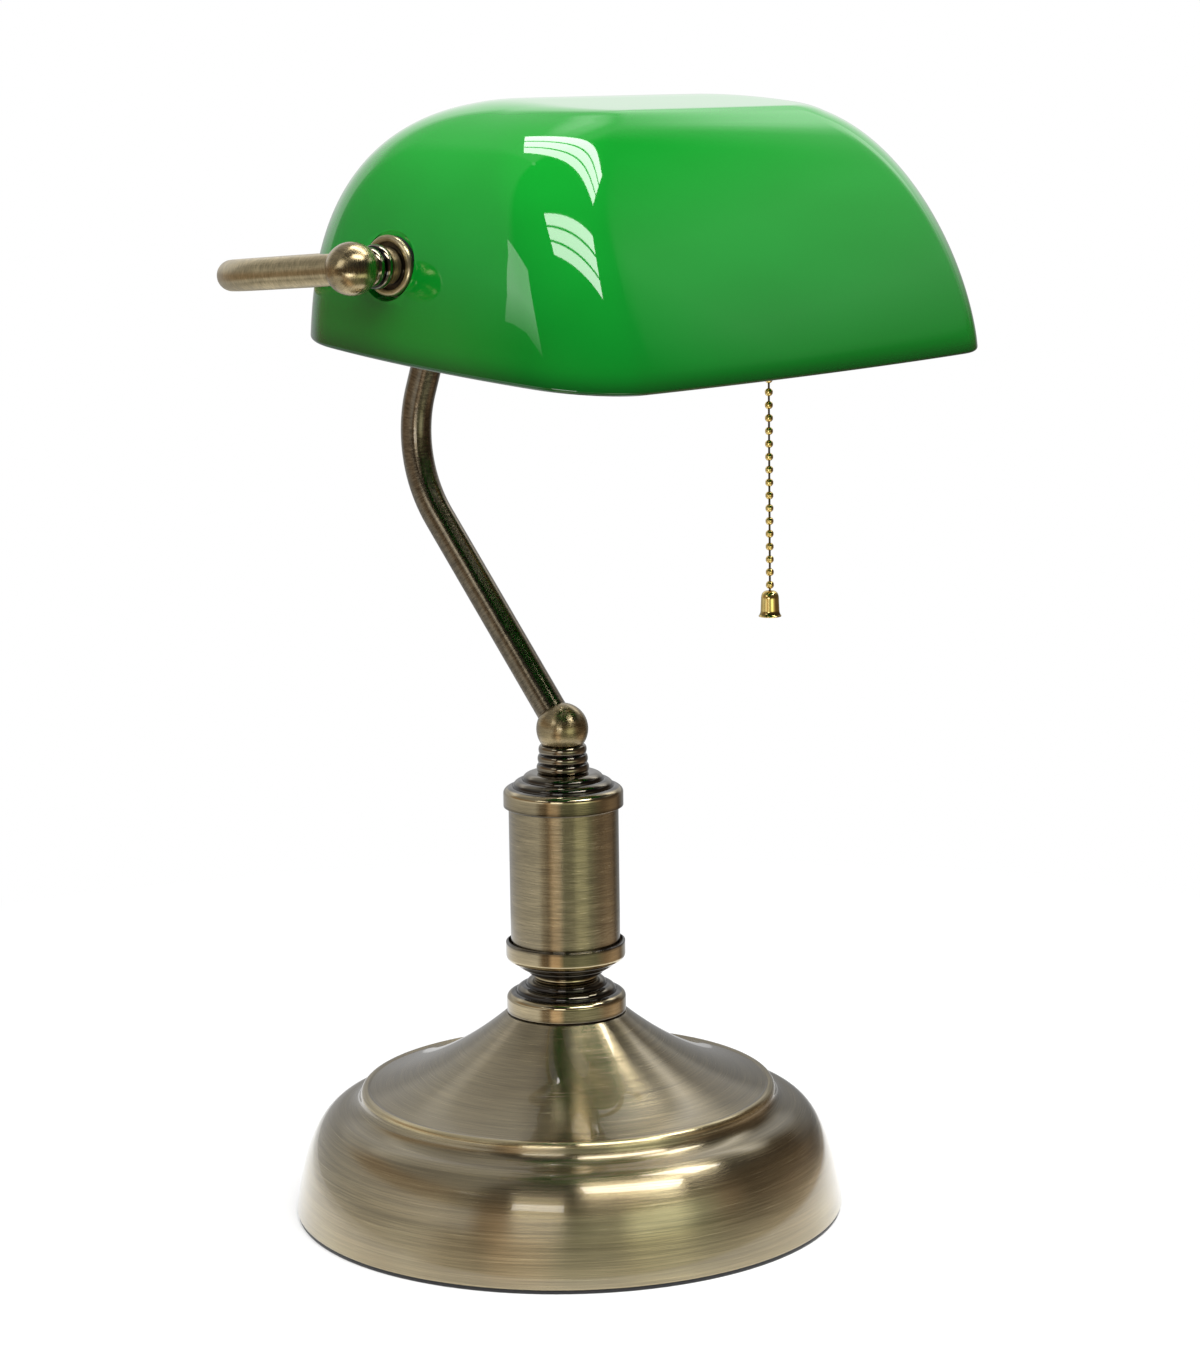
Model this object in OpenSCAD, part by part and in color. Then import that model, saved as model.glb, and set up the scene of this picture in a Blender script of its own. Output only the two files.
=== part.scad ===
// Bankers lamp: weighted round base, stepped brass stem, bent arm, yoke and a tilting glass shade.
// Millimetres, +Z up. The origin is where the stem's axis meets the table.
// +X runs along the shade towards the lamp holder, and the shade's front edge is on the -Y side.

/* [Base] */
// Diameter of the base at its lower edge
base_d = 178; // [170:1:190]
// Height of the flat seat that the stem stands on
base_h = 64.5; // [60:0.5:70]
// Thickness of the base's sheet metal
base_wall = 1.4; // [1:0.1:2]
// Height of the base's side, up to where the shoulder starts
side_h = 20; // [17:0.5:22]
// How far the side draws in over its height
side_draw = 5; // [3:0.5:6]
// Diameter at the top of the shoulder
shoulder_d = 151; // [148:0.5:154]
// Height at the top of the shoulder
shoulder_h = 33; // [31:0.5:34]
// Diameter at the foot of the rounded step
step_d = 143; // [140:0.5:145]
// Height of the step's foot above the shoulder
step_foot_h = 1.2; // [0.8:0.1:2]
// How far the shoulder's curve is drawn in from a square corner
shoulder_soft = 1.5; // [0.5:0.1:4]
// Diameter of the bright ridge on top of the step
ridge_d = 132; // [128:0.5:135]
// Height of the bright ridge
ridge_h = 40.3; // [39:0.1:42]
// Diameter where the cone is deepest
hollow_d = 81; // [76:0.5:88]
// Height of the curve's handle where the cone is deepest
hollow_h = 46.6; // [45.5:0.1:48]
// Thickness of the felt pad
pad_t = 1.2; // [0.8:0.1:2]
// How far the felt stands back from the base's edge
pad_inset = 0.8; // [0.5:0.1:1.5]
// Thickness of the base weight
weight_t = 9; // [6:0.5:12]
// Hole in the base weight
weight_hole_d = 50; // [30:1:70]

/* [Cord inlet] */
// Height of the cord inlet's axis
inlet_h = 18; // [15:0.5:20]
// Bore of the inlet bushing
inlet_bore = 6.2; // [6:0.1:7]
// Diameter of the bushing's shank
bushing_d = 10; // [9:0.5:12]
// Diameter of the bushing's flange
bushing_flange_d = 14; // [13:0.5:16]
// How far the flange stands out from the base
bushing_flange_t = 2; // [1.5:0.1:3]
// How far the shank reaches into the base
bushing_depth = 8; // [6:0.5:10]

/* [Stem] */
// Diameter of the stepped fittings
cup_d = 38.4; // [37:0.2:42]
// Height of a stepped fitting's skirt
cup_skirt_h = 4.8; // [4:0.1:6]
// Height of a stepped fitting's three steps together
cup_steps_h = 6.6; // [6:0.1:8]
// Diameter of a stepped fitting's narrow end
cup_neck_d = 19.6; // [18:0.2:22]
// Height of the ring at the waist
waist_h = 1.1; // [0.8:0.1:2]
// Diameter of the ring at the waist
waist_d = 20.6; // [20:0.2:24]
// Diameter of the column
column_d = 35.2; // [34:0.2:36]
// Thickness of the column's wall
column_wall = 1.2; // [0.8:0.1:2]
// Length of the column
column_len = 52.9; // [45:0.1:65]
// Diameter of the threaded pipe inside the stem
pipe_d = 10; // [9.8:0.1:10.4]
// Bore of the threaded pipe
pipe_bore = 6.4; // [6:0.1:6.8]
// Width of a nut on the pipe, across its corners
pipe_nut_d = 18; // [16:0.5:20]
// Thickness of a nut on the pipe
pipe_nut_t = 5; // [4:0.5:7]
// How far the pipe reaches below its nut
pipe_tail = 2; // [1:0.5:6]
// Diameter of the washer under the base's seat
pipe_washer_d = 26; // [22:0.5:28]
// Thickness of the washer under the base's seat
pipe_washer_t = 1.6; // [1:0.1:2.5]

/* [Swivel] */
// Diameter of the ribbed neck's widest ring
neck_d = 16.8; // [16.2:0.2:18]
// Height of the ribbed neck
neck_h = 8.9; // [8:0.1:11]
// Diameter of the neck's shank, inside the upper cap
neck_shank_d = 12.8; // [12.4:0.1:14]
// Depth of the running bore for the ball's tail
neck_bearing_h = 6; // [5:0.5:7]
// Diameter of the arm ball
arm_ball_d = 16.6; // [16.2:0.2:18]
// Diameter of the flat under the arm ball
arm_ball_flat_d = 13.4; // [12:0.2:14]
// Diameter of the arm ball's tail
tail_d = 8.6; // [8.4:0.1:9]
// How far the tail reaches below the bearing
tail_end_h = 1.8; // [1.7:0.1:2.4]
// Thickness of the snap ring on the tail
clip_t = 1; // [0.8:0.1:1.2]
// Depth of the groove that holds the snap ring
clip_groove = 0.5; // [0.4:0.1:0.6]

/* [Arm] */
// Diameter of the arm tube
arm_d = 10; // [9:0.1:10.6]
// Bore of the arm tube and of the yoke tube
arm_bore = 6.4; // [6:0.1:6.8]
// Lean of the arm's lower leg, in degrees from upright
arm_lean = 38; // [34:0.5:42]
// Height of the arm's bend above the arm ball
arm_corner_h = 83; // [76:0.5:90]
// Radius of the arm's bend
arm_bend_r = 43; // [35:0.5:50]
// Depth of a tube's seat, measured from the centre of its ball
tube_seat = 4; // [3.8:0.1:4.6]

/* [Yoke] */
// Distance of the tilt axis in front of the stem
axis_front = 25.9; // [20:0.1:32]
// Height of the tilt axis
axis_h = 309.8; // [300:0.1:320]
// Diameter of the yoke tube
yoke_d = 9.2; // [8.8:0.1:9.6]
// Length of the yoke's legs, from the tilt axis to the back bar
yoke_len = 68.6; // [66:0.1:76]
// Radius of the yoke's two bends
yoke_bend_r = 38; // [30:0.5:44]
// Drop of the yoke towards the back, in degrees
yoke_drop = 4.1; // [2:0.1:6]
// Diameter of the hub that joins the arm to the yoke
hub_d = 16.4; // [16:0.2:18]
// Diameter of the balls on the yoke's ends
yoke_ball_d = 15.2; // [15:0.1:16.4]

/* [Knobs] */
// Diameter of the flat on a yoke ball that faces the shade
knob_flat_d = 10.7; // [10.4:0.1:11.2]
// Thickness of the friction washer
friction_washer_t = 0.6; // [0.4:0.1:1]
// Diameter of the friction washer
friction_washer_d = 10.6; // [10:0.1:11]
// Length of a knob's ribbed neck
knob_neck_len = 6; // [5:0.1:7.5]
// Diameter of a knob neck's widest ring
knob_neck_d = 12.8; // [12.2:0.1:13.4]
// Diameter of the flange against the glass
flange_d = 17.6; // [17:0.1:18.4]
// Thickness of the flange's rim
flange_rim_t = 1.4; // [1:0.1:2]
// Height of the flange's two steps together
flange_steps_h = 3.6; // [3:0.1:5]
// Diameter of the nipple through the glass
nipple_d = 8; // [7.8:0.1:8.4]
// Distance from a nipple's outer end to the centre of its ball
nipple_seat = 3.6; // [3.4:0.1:4]
// How far a nipple reaches past its nut
nipple_tail = 1; // [0.5:0.1:2]
// Bore of the nipple
nipple_bore = 5.8; // [5.6:0.1:6]
// Thickness of a gasket on the glass
gasket_t = 1; // [0.6:0.1:1.5]
// Diameter of a gasket on the glass
gasket_d = 17; // [16:0.1:17.6]
// Thickness of the washer inside the shade
clamp_washer_t = 1.2; // [0.8:0.1:2]
// Width of a nut on the nipple, across its corners
nipple_nut_d = 15; // [14:0.5:17]
// Thickness of a nut on the nipple
nipple_nut_t = 4; // [3:0.5:6]

/* [Shade] */
// Length of the shade's rim
shade_len = 216; // [208:1:222]
// Width of the shade's rim
shade_w = 125; // [118:1:130]
// Height of the shade above its rim
shade_h = 73; // [70:0.5:78]
// Thickness of the glass
glass_t = 4; // [3:0.1:5]
// Tilt of the shade as it stands, front edge down, in degrees
shade_tilt = 6.4; // [0:0.1:12]
// Distance of the tilt axis behind the middle of the rim
axis_back = 17; // [12:0.1:20]
// Height of the tilt axis above the rim
axis_rise = 27; // [24:0.1:32]
// Length of the flat on top of the shade
top_len = 102; // [90:1:120]
// Reach of the flat top in front of the middle of the rim
top_front = 13.6; // [8:0.2:18]
// Reach of the flat top behind the middle of the rim
top_back = 15.4; // [10:0.2:22]
// Roundness of the ends, as the power of their curve
end_power = 2.42; // [2:0.01:3]
// Roundness of the front, as the power of its curve
front_power = 1.29; // [1.2:0.01:1.6]
// Roundness of the back, as the power of its curve
back_power = 2.58; // [2:0.01:3]
// Bow of the ends, seen from above
end_bow = 8.5; // [4:0.1:14]
// Bow of the long sides, seen from above
side_bow = 3.4; // [0:0.1:5]
// Radius of the shade's upright corners at the rim
rim_corner_r = 22; // [12:0.5:28]
// Radius of the shade's upright corners at the top
top_corner_r = 23; // [18:0.5:26]
// How far the ground seat of a knob lies in from the rim's end
seat_inset = 5; // [4.5:0.1:6]
// Thickness of the glass at a knob's ground seat
seat_t = 5; // [4.5:0.1:7]
// Diameter of the ground seat
seat_d = 20; // [19:0.2:22]
// Diameter of the hole in the glass
glass_hole_d = 9.6; // [9:0.1:10.4]

/* [Lamp holder] */
// Diameter of the holder's cap
cap_d = 36; // [35.8:0.1:38]
// Length of the holder's cap
cap_len = 14.5; // [13:0.1:16]
// Length of the cap's rounded end
cap_round_len = 9; // [7:0.5:11]
// Thickness of the cap's end wall
cap_end_t = 2.4; // [2:0.1:3]
// Diameter of the holder's shell
shell_d = 33.7; // [33.5:0.1:34]
// Thickness of the shell
shell_t = 0.8; // [0.6:0.1:1]
// Distance from the glass to the shell's inner end
shell_start = 10; // [9:0.5:11]
// Length of the shell
shell_len = 50; // [48:0.5:54]
// Thickness of the insulating sleeve
sleeve_t = 0.9; // [0.7:0.1:1.1]
// Length of the switch body
switch_len = 21.5; // [21:0.1:23]
// Distance from the glass to the switch body
switch_start = 14; // [13:0.1:15]
// Inside diameter of the screw shell, for the bulb
screw_d = 27.2; // [26.8:0.1:27.6]
// Thickness of the screw shell
screw_t = 0.5; // [0.4:0.1:0.8]
// Length of the screw shell
screw_len = 22; // [20:0.5:24]
// Thickness of the centre contact
contact_t = 1.2; // [0.8:0.1:1.6]
// Diameter of the centre contact
contact_d = 8; // [6:0.5:10]

/* [Pull switch] */
// Distance from the glass to the chain
chain_inset = 21; // [20.5:0.1:22]
// Distance from the chain to the lever's pivot
lever_len = 10; // [9.5:0.1:10.5]
// Drop of the lever's pivot below the tilt axis
lever_drop = 5; // [4:0.1:6]
// Angle of the lever above level as it rests, in degrees
lever_rest = 24; // [20:0.5:24]
// Thickness of the lever
lever_t = 1.5; // [1.2:0.1:1.8]
// Width of the lever
lever_w = 6; // [5:0.1:7]
// Gap beside the lever in its pocket
lever_side_gap = 1; // [0.5:0.1:1.5]
// Depth of the lever's pocket below the pivot
pocket_depth = 8; // [7.5:0.1:8.4]
// Thickness of the wall between the pocket and the bulb
pocket_wall = 1.3; // [1:0.1:1.6]
// Diameter of the lever's pin
pin_d = 2; // [1.8:0.1:2.4]
// Length of the lever's pin
pin_len = 14; // [12:0.5:16]
// Outside diameter of the chain guide
guide_d = 5; // [4.8:0.1:5.6]
// Drop of the guide's mouth below the tilt axis
guide_drop = 27; // [24:0.1:28]
// Diameter of the guide's flared mouth
guide_mouth_d = 7.2; // [6.6:0.1:8]
// Height of the guide's flare
guide_flare_h = 3; // [2:0.1:4]
// Thickness of the guide's lip and of its collar
guide_lip_t = 0.8; // [0.5:0.1:1.2]
// Width of the guide's collar, outside the shell
guide_collar_w = 1; // [0.6:0.1:1.6]

/* [Pull chain] */
// Diameter of a bead
bead_d = 3.2; // [3:0.1:3.4]
// Distance from bead to bead
bead_pitch = 4.23; // [4:0.01:4.6]
// Diameter of the link between two beads
link_d = 1; // [0.8:0.1:1.1]
// Count of beads above the bell
bead_count = 20; // [12:1:26]
// Height of the bell
bell_h = 8.6; // [7:0.1:10]
// Diameter of the bell's mouth
bell_d = 6.9; // [6.4:0.1:8]
// Diameter of the bell's crown
bell_crown_d = 5; // [4.8:0.1:5.4]
// Thickness of the bell
bell_t = 0.7; // [0.5:0.1:0.9]
// Height of the bell's rolled lip
bell_lip_h = 0.8; // [0.5:0.1:1.2]
// Length of the bell's rounded crown
bell_crown_h = 2; // [1.2:0.1:3]

/* [Bulb] */
// Diameter of the bulb's glass tube
bulb_d = 30; // [28:0.5:34]
// Length of the bulb's glass
bulb_len = 99; // [80:1:115]
// Diameter of the bulb's screw cap
bulb_cap_d = 26.4; // [26:0.1:26.6]
// Length of the bulb's screw cap
bulb_cap_len = 22; // [20:0.5:24]
// Length of the insulated cone on the bulb's cap
bulb_cone_len = 3; // [2:0.1:5]
// Length of the bulb's neck, from its cap to its full width
bulb_neck_len = 10; // [8:0.5:14]
// Length of the contact button on the bulb's cap
bulb_button_len = 1.4; // [1:0.1:3]

/* [Lead and fits] */
// Diameter of the lead inside the lamp
lead_d = 4.8; // [4.4:0.1:5]
// Radial gap of a running fit
run_gap = 0.05; // [0.03:0.01:0.08]
// Radial gap of a fixed fit
fixed_gap = 0.05; // [0.02:0.01:0.1]
// Radial gap of a screw thread
thread_gap = 0.02; // [0.01:0.01:0.05]
// Gap between pieces that pass each other freely
free_gap = 0.3; // [0.2:0.05:0.4]
// Gap under a ball that turns
swivel_gap = 0.2; // [0.1:0.05:0.3]

/* [Hidden] */
$fn = 64;

// Colours, as the finishes look
aged_brass = [0.47, 0.41, 0.27];
bright_brass = [0.83, 0.66, 0.27];
green_glass = [0.05, 0.50, 0.16];
black = [0.08, 0.08, 0.08];
steel = [0.62, 0.63, 0.65];
iron = [0.30, 0.30, 0.31];
fibre = [0.55, 0.45, 0.33];
opal = [0.95, 0.94, 0.90];

// Points along a curve with one handle
arc_steps = 8;
overlap = 1;
function bend_points(from, handle, to, steps = arc_steps) =
  [for (i = [0:steps]) let (t = i / steps) (1 - t) ^ 2 * from + 2 * t * (1 - t) * handle + t ^ 2 * to];

// Outline of rounded steps that climb from radius r0 to radius r1, standing on an upright skirt
function step_points(r0, r1, skirt, h, count) = concat(
  [[r0, 0]],
  [for (i = [0:count - 1], j = [(i == 0 ? 0 : 1):arc_steps])
    let (w = (r0 - r1) / count, rise = h / count, a = 90 * j / arc_steps)
    [r0 - (i + 1) * w + w * cos(a), skirt + i * rise + rise * sin(a)]]
);

// Outline of a stack of round ribs, each a little narrower than the one below
rib_count = 3;
cup_step_count = 3;
flange_step_count = 2;
rib_depth = 0.8;
rib_taper = 0.35;
rib_half_turn = 75;
function rib_points(d, h) =
  [for (i = [0:rib_count - 1], j = [0:arc_steps])
    let (a = rib_half_turn * (2 * j / arc_steps - 1), half = h / rib_count / 2)
    [d / 2 - i * rib_taper - rib_depth * (1 - cos(a)), half * (2 * i + 1) + half * sin(a)]];

// Distance from a ball's centre to a flat of the given diameter
function flat_offset(ball, flat) = sqrt(ball ^ 2 - flat ^ 2) / 2;

// Levels up the stem
cup_h = cup_skirt_h + cup_steps_h;
foot_top = base_h + cup_h;
waist_top = foot_top + waist_h;
lower_rim = waist_top + cup_h;
column_bottom = lower_rim - cup_skirt_h;
column_top = column_bottom + column_len;
cap_bottom = column_top - cup_skirt_h;
cap_top = cap_bottom + cup_h;
neck_top = cap_top + neck_h;
ball_flat = neck_top + swivel_gap;
ball_h = ball_flat + flat_offset(arm_ball_d, arm_ball_flat_d);
bearing_bottom = neck_top - neck_bearing_h;
tail_bottom = bearing_bottom - tail_end_h;
shank_bottom = column_top - overlap;
pipe_top = tail_bottom - free_gap;
seat_under = base_h - base_wall;
pipe_bottom = seat_under - pipe_washer_t - pipe_nut_t - pipe_tail;
pipe_hole_r = pipe_d / 2 + fixed_gap;
pipe_thread_r = pipe_d / 2 + thread_gap;
lead_r = lead_d / 2;
lead_elbow_r = lead_r + 0.1;
lead_bend_r = 3;
elbow_room = 1.5;

// Base: the outline outside, and the hollow inside it
base_r = base_d / 2;
side_r = base_r - side_draw;
shoulder_r = shoulder_d / 2;
ridge_r = ridge_d / 2;
seat_r = cup_d / 2 + free_gap;
shoulder_handle = [side_r - shoulder_soft, shoulder_h - shoulder_soft];
cone_points = bend_points([ridge_r, ridge_h], [hollow_d / 2, hollow_h], [seat_r, base_h]);
cone_drop = 1.4 * base_wall;
side_lean = atan(side_draw / (side_h - pad_t));
weight_top = pad_t + weight_t;
function side_r_at(z) = base_r - (z - pad_t) * tan(side_lean);
base_outline = concat(
  [[0, pad_t], [base_r, pad_t]],
  bend_points([side_r, side_h], shoulder_handle, [shoulder_r, shoulder_h]),
  bend_points([step_d / 2, shoulder_h + step_foot_h], [step_d / 2, ridge_h], [ridge_r, ridge_h]),
  [for (i = [1:arc_steps]) cone_points[i]],
  [[0, base_h]]
);
hollow_outline = concat(
  [[0, pad_t - overlap], [base_r - base_wall, pad_t - overlap], [base_r - base_wall, pad_t]],
  [[side_r - base_wall, side_h], [shoulder_r - 2 * base_wall, shoulder_h - 1.5 * base_wall]],
  [for (i = [1:arc_steps - 1]) cone_points[i] - [0, cone_drop]],
  [[pipe_washer_d / 2 + overlap, seat_under], [0, seat_under]]
);

// Places on the yoke, seen from the tilt axis
axis_y = -axis_front;
seat_x = shade_len / 2 - seat_inset;
flange_h = flange_rim_t + flange_steps_h;
knob_reach = gasket_t + flange_h + knob_neck_len + swivel_gap + friction_washer_t;
yoke_ball_x = seat_x + knob_reach + flat_offset(yoke_ball_d, knob_flat_d);
nipple_outer = yoke_ball_x - nipple_seat;
hub_y = axis_y + yoke_len * cos(yoke_drop);
hub_h = axis_h - yoke_len * sin(yoke_drop);
hub_seat = yoke_d / 2 + free_gap;

// The arm's bend, in the upright plane through the stem
corner = [arm_corner_h * tan(arm_lean), ball_h + arm_corner_h];
to_hub = [hub_y, hub_h] - corner;
arm_return = atan2(-to_hub[0], to_hub[1]);
arm_turn = arm_lean + arm_return;
bend_tangent = arm_bend_r * tan(arm_turn / 2);
lower_leg = arm_corner_h / cos(arm_lean) - bend_tangent;
upper_leg = norm(to_hub) - bend_tangent;
bend_start = [0, ball_h] + lower_leg * [sin(arm_lean), cos(arm_lean)];
bend_centre = bend_start + arm_bend_r * [-cos(arm_lean), sin(arm_lean)];

// Places inside the shade, as depths from the glass towards the middle of the lamp
inner_seat_x = seat_x - seat_t;
nipple_thread_r = nipple_d / 2 + thread_gap;
cap_start = gasket_t;
locknut_start = cap_start + cap_end_t;
switch_end = switch_start + switch_len;
shell_r = shell_d / 2;
sleeve_r = shell_r - shell_t - fixed_gap;
switch_r = sleeve_r - sleeve_t - fixed_gap;
bulb_tip = switch_end + contact_t;
bulb_cap_start = bulb_tip + bulb_button_len;
bulb_glass_start = bulb_cap_start + bulb_cap_len;
chain_x = inner_seat_x - chain_inset;
pivot_x = chain_x - lever_len;
pivot_h = axis_h - lever_drop;
bead_r = bead_d / 2;

// Chain levels: the top bead rests on the lever's fork, and the knuckle hangs just below the guide
fork_top = pivot_h + lever_len * tan(lever_rest) + lever_t / 2 / cos(lever_rest);
top_bead_h = fork_top + bead_r / cos(lever_rest) + swivel_gap;
mouth_h = axis_h - guide_drop;
knuckle_h = mouth_h - bead_r - 2 * free_gap;
last_bead_h = knuckle_h - bead_count * bead_pitch;
bell_top = last_bead_h - bead_r - free_gap;
bell_bead_h = bell_top - bell_t - swivel_gap - bead_r;
bell_hollow_d = bead_d + 2 * swivel_gap;
bell_bottom = bell_top - bell_h;

// Shade: a loft of rounded outlines from the rim to the flat top
glass_levels = 14;
corner_points = 6;
end_points = 5;
side_points = 7;
function fall(t, power) = (1 - t ^ power) ^ (1 / power);
function blend(rim, top, t, power) = top + (rim - top) * fall(t, power);
function bowed(p, half, bow) = [
  p[0] - sign(p[0]) * bow[0] * (p[1] / half[1]) ^ 2 * (p[0] / half[0]) ^ 4,
  p[1] - sign(p[1]) * bow[1] * (p[0] / half[0]) ^ 2 * (p[1] / half[1]) ^ 4
];
// One rounded outline: a corner, then points along the side that follows it, four times round
function corner_centre(k, half, r) =
  [(k == 0 || k == 1 ? 1 : -1) * (half[0] - r), (k == 1 || k == 2 ? 1 : -1) * (half[1] - r)];
function outline(half, r) = [
  for (k = [0:3]) let (
    here = corner_centre(k, half, r),
    next = corner_centre((k + 1) % 4, half, r),
    a = 90 * (k - 1),
    count = k % 2 == 0 ? end_points : side_points,
    to_side = r * [cos(a + 90), sin(a + 90)]
  ) each concat(
    [for (j = [0:corner_points]) let (b = a + 90 * j / corner_points) here + r * [cos(b), sin(b)]],
    [for (j = [1:count]) here + to_side + (next - here) * j / (count + 1)]
  )
];
// The shade's outline at a share t of its height, drawn in by the given thickness
function shade_ring(t, thick) = let (
  half_len = blend(shade_len, top_len, t, end_power) / 2 - thick,
  front = blend(shade_w / 2, top_front, t, front_power) - thick,
  back = blend(shade_w / 2, top_back, t, back_power) - thick,
  half = [half_len, (front + back) / 2],
  r = min(rim_corner_r + (top_corner_r - rim_corner_r) * t, 0.9 * half[1]),
  bow = [end_bow * (half[1] / shade_w * 2) ^ 2, side_bow * (half_len / shade_len * 2) ^ 2],
  z = (shade_h - thick) * t
) [for (p = outline(half, r)) let (q = bowed(p, half, bow)) [q[0], q[1] + (back - front) / 2, z]];
ring_size = 4 * (corner_points + 1) + 2 * (end_points + side_points);
inner_first = (glass_levels + 1) * ring_size;
function wall_faces(first, inward) = [
  for (i = [0:glass_levels - 1], j = [0:ring_size - 1]) let (
    p = first + i * ring_size + j,
    q = first + i * ring_size + (j + 1) % ring_size,
    up = ring_size
  ) each inward ? [[p, q, q + up], [p, q + up, p + up]] : [[p, q + up, q], [p, p + up, q + up]]
];
rim_faces = [
  for (j = [0:ring_size - 1]) let (k = (j + 1) % ring_size)
  each [[j, k, inner_first + k], [j, inner_first + k, inner_first + j]]
];
last_ring = glass_levels * ring_size;
function lid_faces(first, inward) = [
  for (j = [1:ring_size - 2])
  inward ? [first, first + j, first + j + 1] : [first, first + j + 1, first + j]
];

// Placing: the tilt axis, a knob at either end, a depth inside the shade, the yoke's plane and the arm's legs
module at_axis() { translate([0, axis_y, axis_h]) children(); }
module on_side(side) { mirror([side < 0 ? 1 : 0, 0, 0]) at_axis() children(); }
module at_knob(side) { on_side(side) translate([seat_x, 0, 0]) rotate([0, 90, 0]) children(); }
module inside(side, depth) {
  on_side(side) translate([inner_seat_x - depth, 0, 0]) rotate([0, -90, 0]) children();
}
module on_yoke() { at_axis() rotate([-yoke_drop, 0, 0]) children(); }
module on_arm() { translate([0, 0, ball_h]) rotate([-arm_lean, 0, 0]) children(); }
module under_hub() { translate([0, hub_y, hub_h]) rotate([arm_return, 0, 0]) children(); }
module along_y() { rotate([-90, 0, 0]) children(); }
module along_x() { rotate([0, 90, 0]) children(); }

// A round corner in a route through three points, and a tube of flat sides swept along a route
function unit(v) = v / norm(v);
function corner_arc(before, at, after, r) = let (
  along = unit(at - before),
  leave = unit(after - at),
  turn = acos(along * leave),
  start = at - r * tan(turn / 2) * along,
  inward = unit(leave - (along * leave) * along)
) [
  for (i = [0:arc_steps]) let (a = turn * i / arc_steps)
  start + r * ((1 - cos(a)) * inward + sin(a) * along)
];
tube_sides = 12;
sweep_side = [0.5, 0.3, -0.8];
function sweep_ring(path, i, r) = let (
  n = len(path),
  ahead = unit(path[min(i + 1, n - 1)] - path[max(i - 1, 0)]),
  u = unit(cross(sweep_side, ahead)),
  v = cross(ahead, u)
) [for (j = [0:tube_sides - 1]) let (a = 360 * j / tube_sides) path[i] + r * (cos(a) * u + sin(a) * v)];
module swept_tube(path, r) {
  n = len(path);
  points = [for (i = [0:n - 1]) each sweep_ring(path, i, r)];
  side_faces = [
    for (i = [0:n - 2], j = [0:tube_sides - 1]) let (
      p = i * tube_sides + j,
      q = i * tube_sides + (j + 1) % tube_sides
    ) each [[p, q + tube_sides, q], [p, p + tube_sides, q + tube_sides]]
  ];
  end_faces = [for (j = [1:tube_sides - 2]) each [
    [0, j, j + 1],
    [(n - 1) * tube_sides, (n - 1) * tube_sides + j + 1, (n - 1) * tube_sides + j]
  ]];
  polyhedron(points = points, faces = concat(side_faces, end_faces));
}

// Shapes that repeat
module ring(outer_r, inner_r, h) {
  difference() {
    cylinder(r = outer_r, h = h);
    translate([0, 0, -overlap]) cylinder(r = inner_r, h = h + 2 * overlap);
  }
}
module hex_nut(d, hole_r, h) {
  difference() {
    cylinder(d = d, h = h, $fn = 6);
    translate([0, 0, -overlap]) cylinder(r = hole_r, h = h + 2 * overlap);
  }
}
module turned(points) { rotate_extrude() polygon(points); }
module stepped_cup(bore_r) {
  difference() {
    turned(concat(
      [[0, 0]],
      step_points(cup_d / 2, cup_neck_d / 2, cup_skirt_h, cup_steps_h, cup_step_count),
      [[0, cup_h]]
    ));
    translate([0, 0, -overlap]) cylinder(r = column_d / 2 + free_gap, h = cup_skirt_h + overlap);
    cylinder(r = bore_r, h = cup_h + overlap);
  }
}
module tube_bend(bend_r, turn, outer_r, inner_r) {
  rotate_extrude(angle = turn) translate([bend_r, 0]) difference() {
    circle(r = outer_r);
    circle(r = inner_r);
  }
}
// A ball with a flat below, square to Z
module flat_ball(d, flat_d) {
  low = flat_offset(d, flat_d);
  rotate_extrude() intersection() {
    circle(d = d);
    translate([0, -low]) square([d, low + d]);
  }
}
module yoke_ball() {
  difference() {
    translate([yoke_ball_x, 0, 0]) along_x() flat_ball(yoke_ball_d, knob_flat_d);
    translate([nipple_outer + free_gap - yoke_ball_d, 0, 0]) along_x()
      cylinder(r = nipple_d / 2 + run_gap, h = yoke_ball_d);
    translate([yoke_ball_x - yoke_ball_d, 0, 0]) along_x()
      cylinder(d = nipple_bore, h = yoke_ball_d + elbow_room);
    rotate([-yoke_drop, 0, 0]) translate([yoke_ball_x, -elbow_room, 0]) along_y()
      cylinder(d = arm_bore, h = yoke_ball_d);
    rotate([-yoke_drop, 0, 0]) translate([yoke_ball_x, tube_seat, 0]) along_y()
      cylinder(r = yoke_d / 2 + fixed_gap, h = yoke_ball_d);
  }
}
module knob_neck() {
  translate([0, 0, gasket_t + flange_h]) difference() {
    turned(concat([[0, 0]], rib_points(knob_neck_d, knob_neck_len), [[0, knob_neck_len]]));
    translate([0, 0, -overlap]) cylinder(r = nipple_d / 2 + fixed_gap, h = knob_neck_len + 2 * overlap);
  }
}
module flange() {
  translate([0, 0, gasket_t]) difference() {
    turned(concat(
      [[0, 0]],
      step_points(flange_d / 2, knob_neck_d / 2, flange_rim_t, flange_steps_h, flange_step_count),
      [[0, flange_h]]
    ));
    translate([0, 0, -overlap]) cylinder(r = nipple_d / 2 + fixed_gap, h = flange_h + 2 * overlap);
  }
}
module nipple(side, depth) {
  inside(side, depth) translate([0, 0, -(nipple_outer - inner_seat_x + depth)])
    ring(nipple_d / 2, nipple_bore / 2, nipple_outer - inner_seat_x + depth);
}
module guide_hole() {
  translate([chain_x, axis_y, mouth_h - overlap])
    cylinder(r = guide_d / 2 + fixed_gap, h = axis_h - mouth_h);
}
module bead(h) { translate([chain_x, axis_y, h]) sphere(d = bead_d); }
module link(from, to) { translate([chain_x, axis_y, to]) cylinder(d = link_d, h = from - to); }

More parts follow.
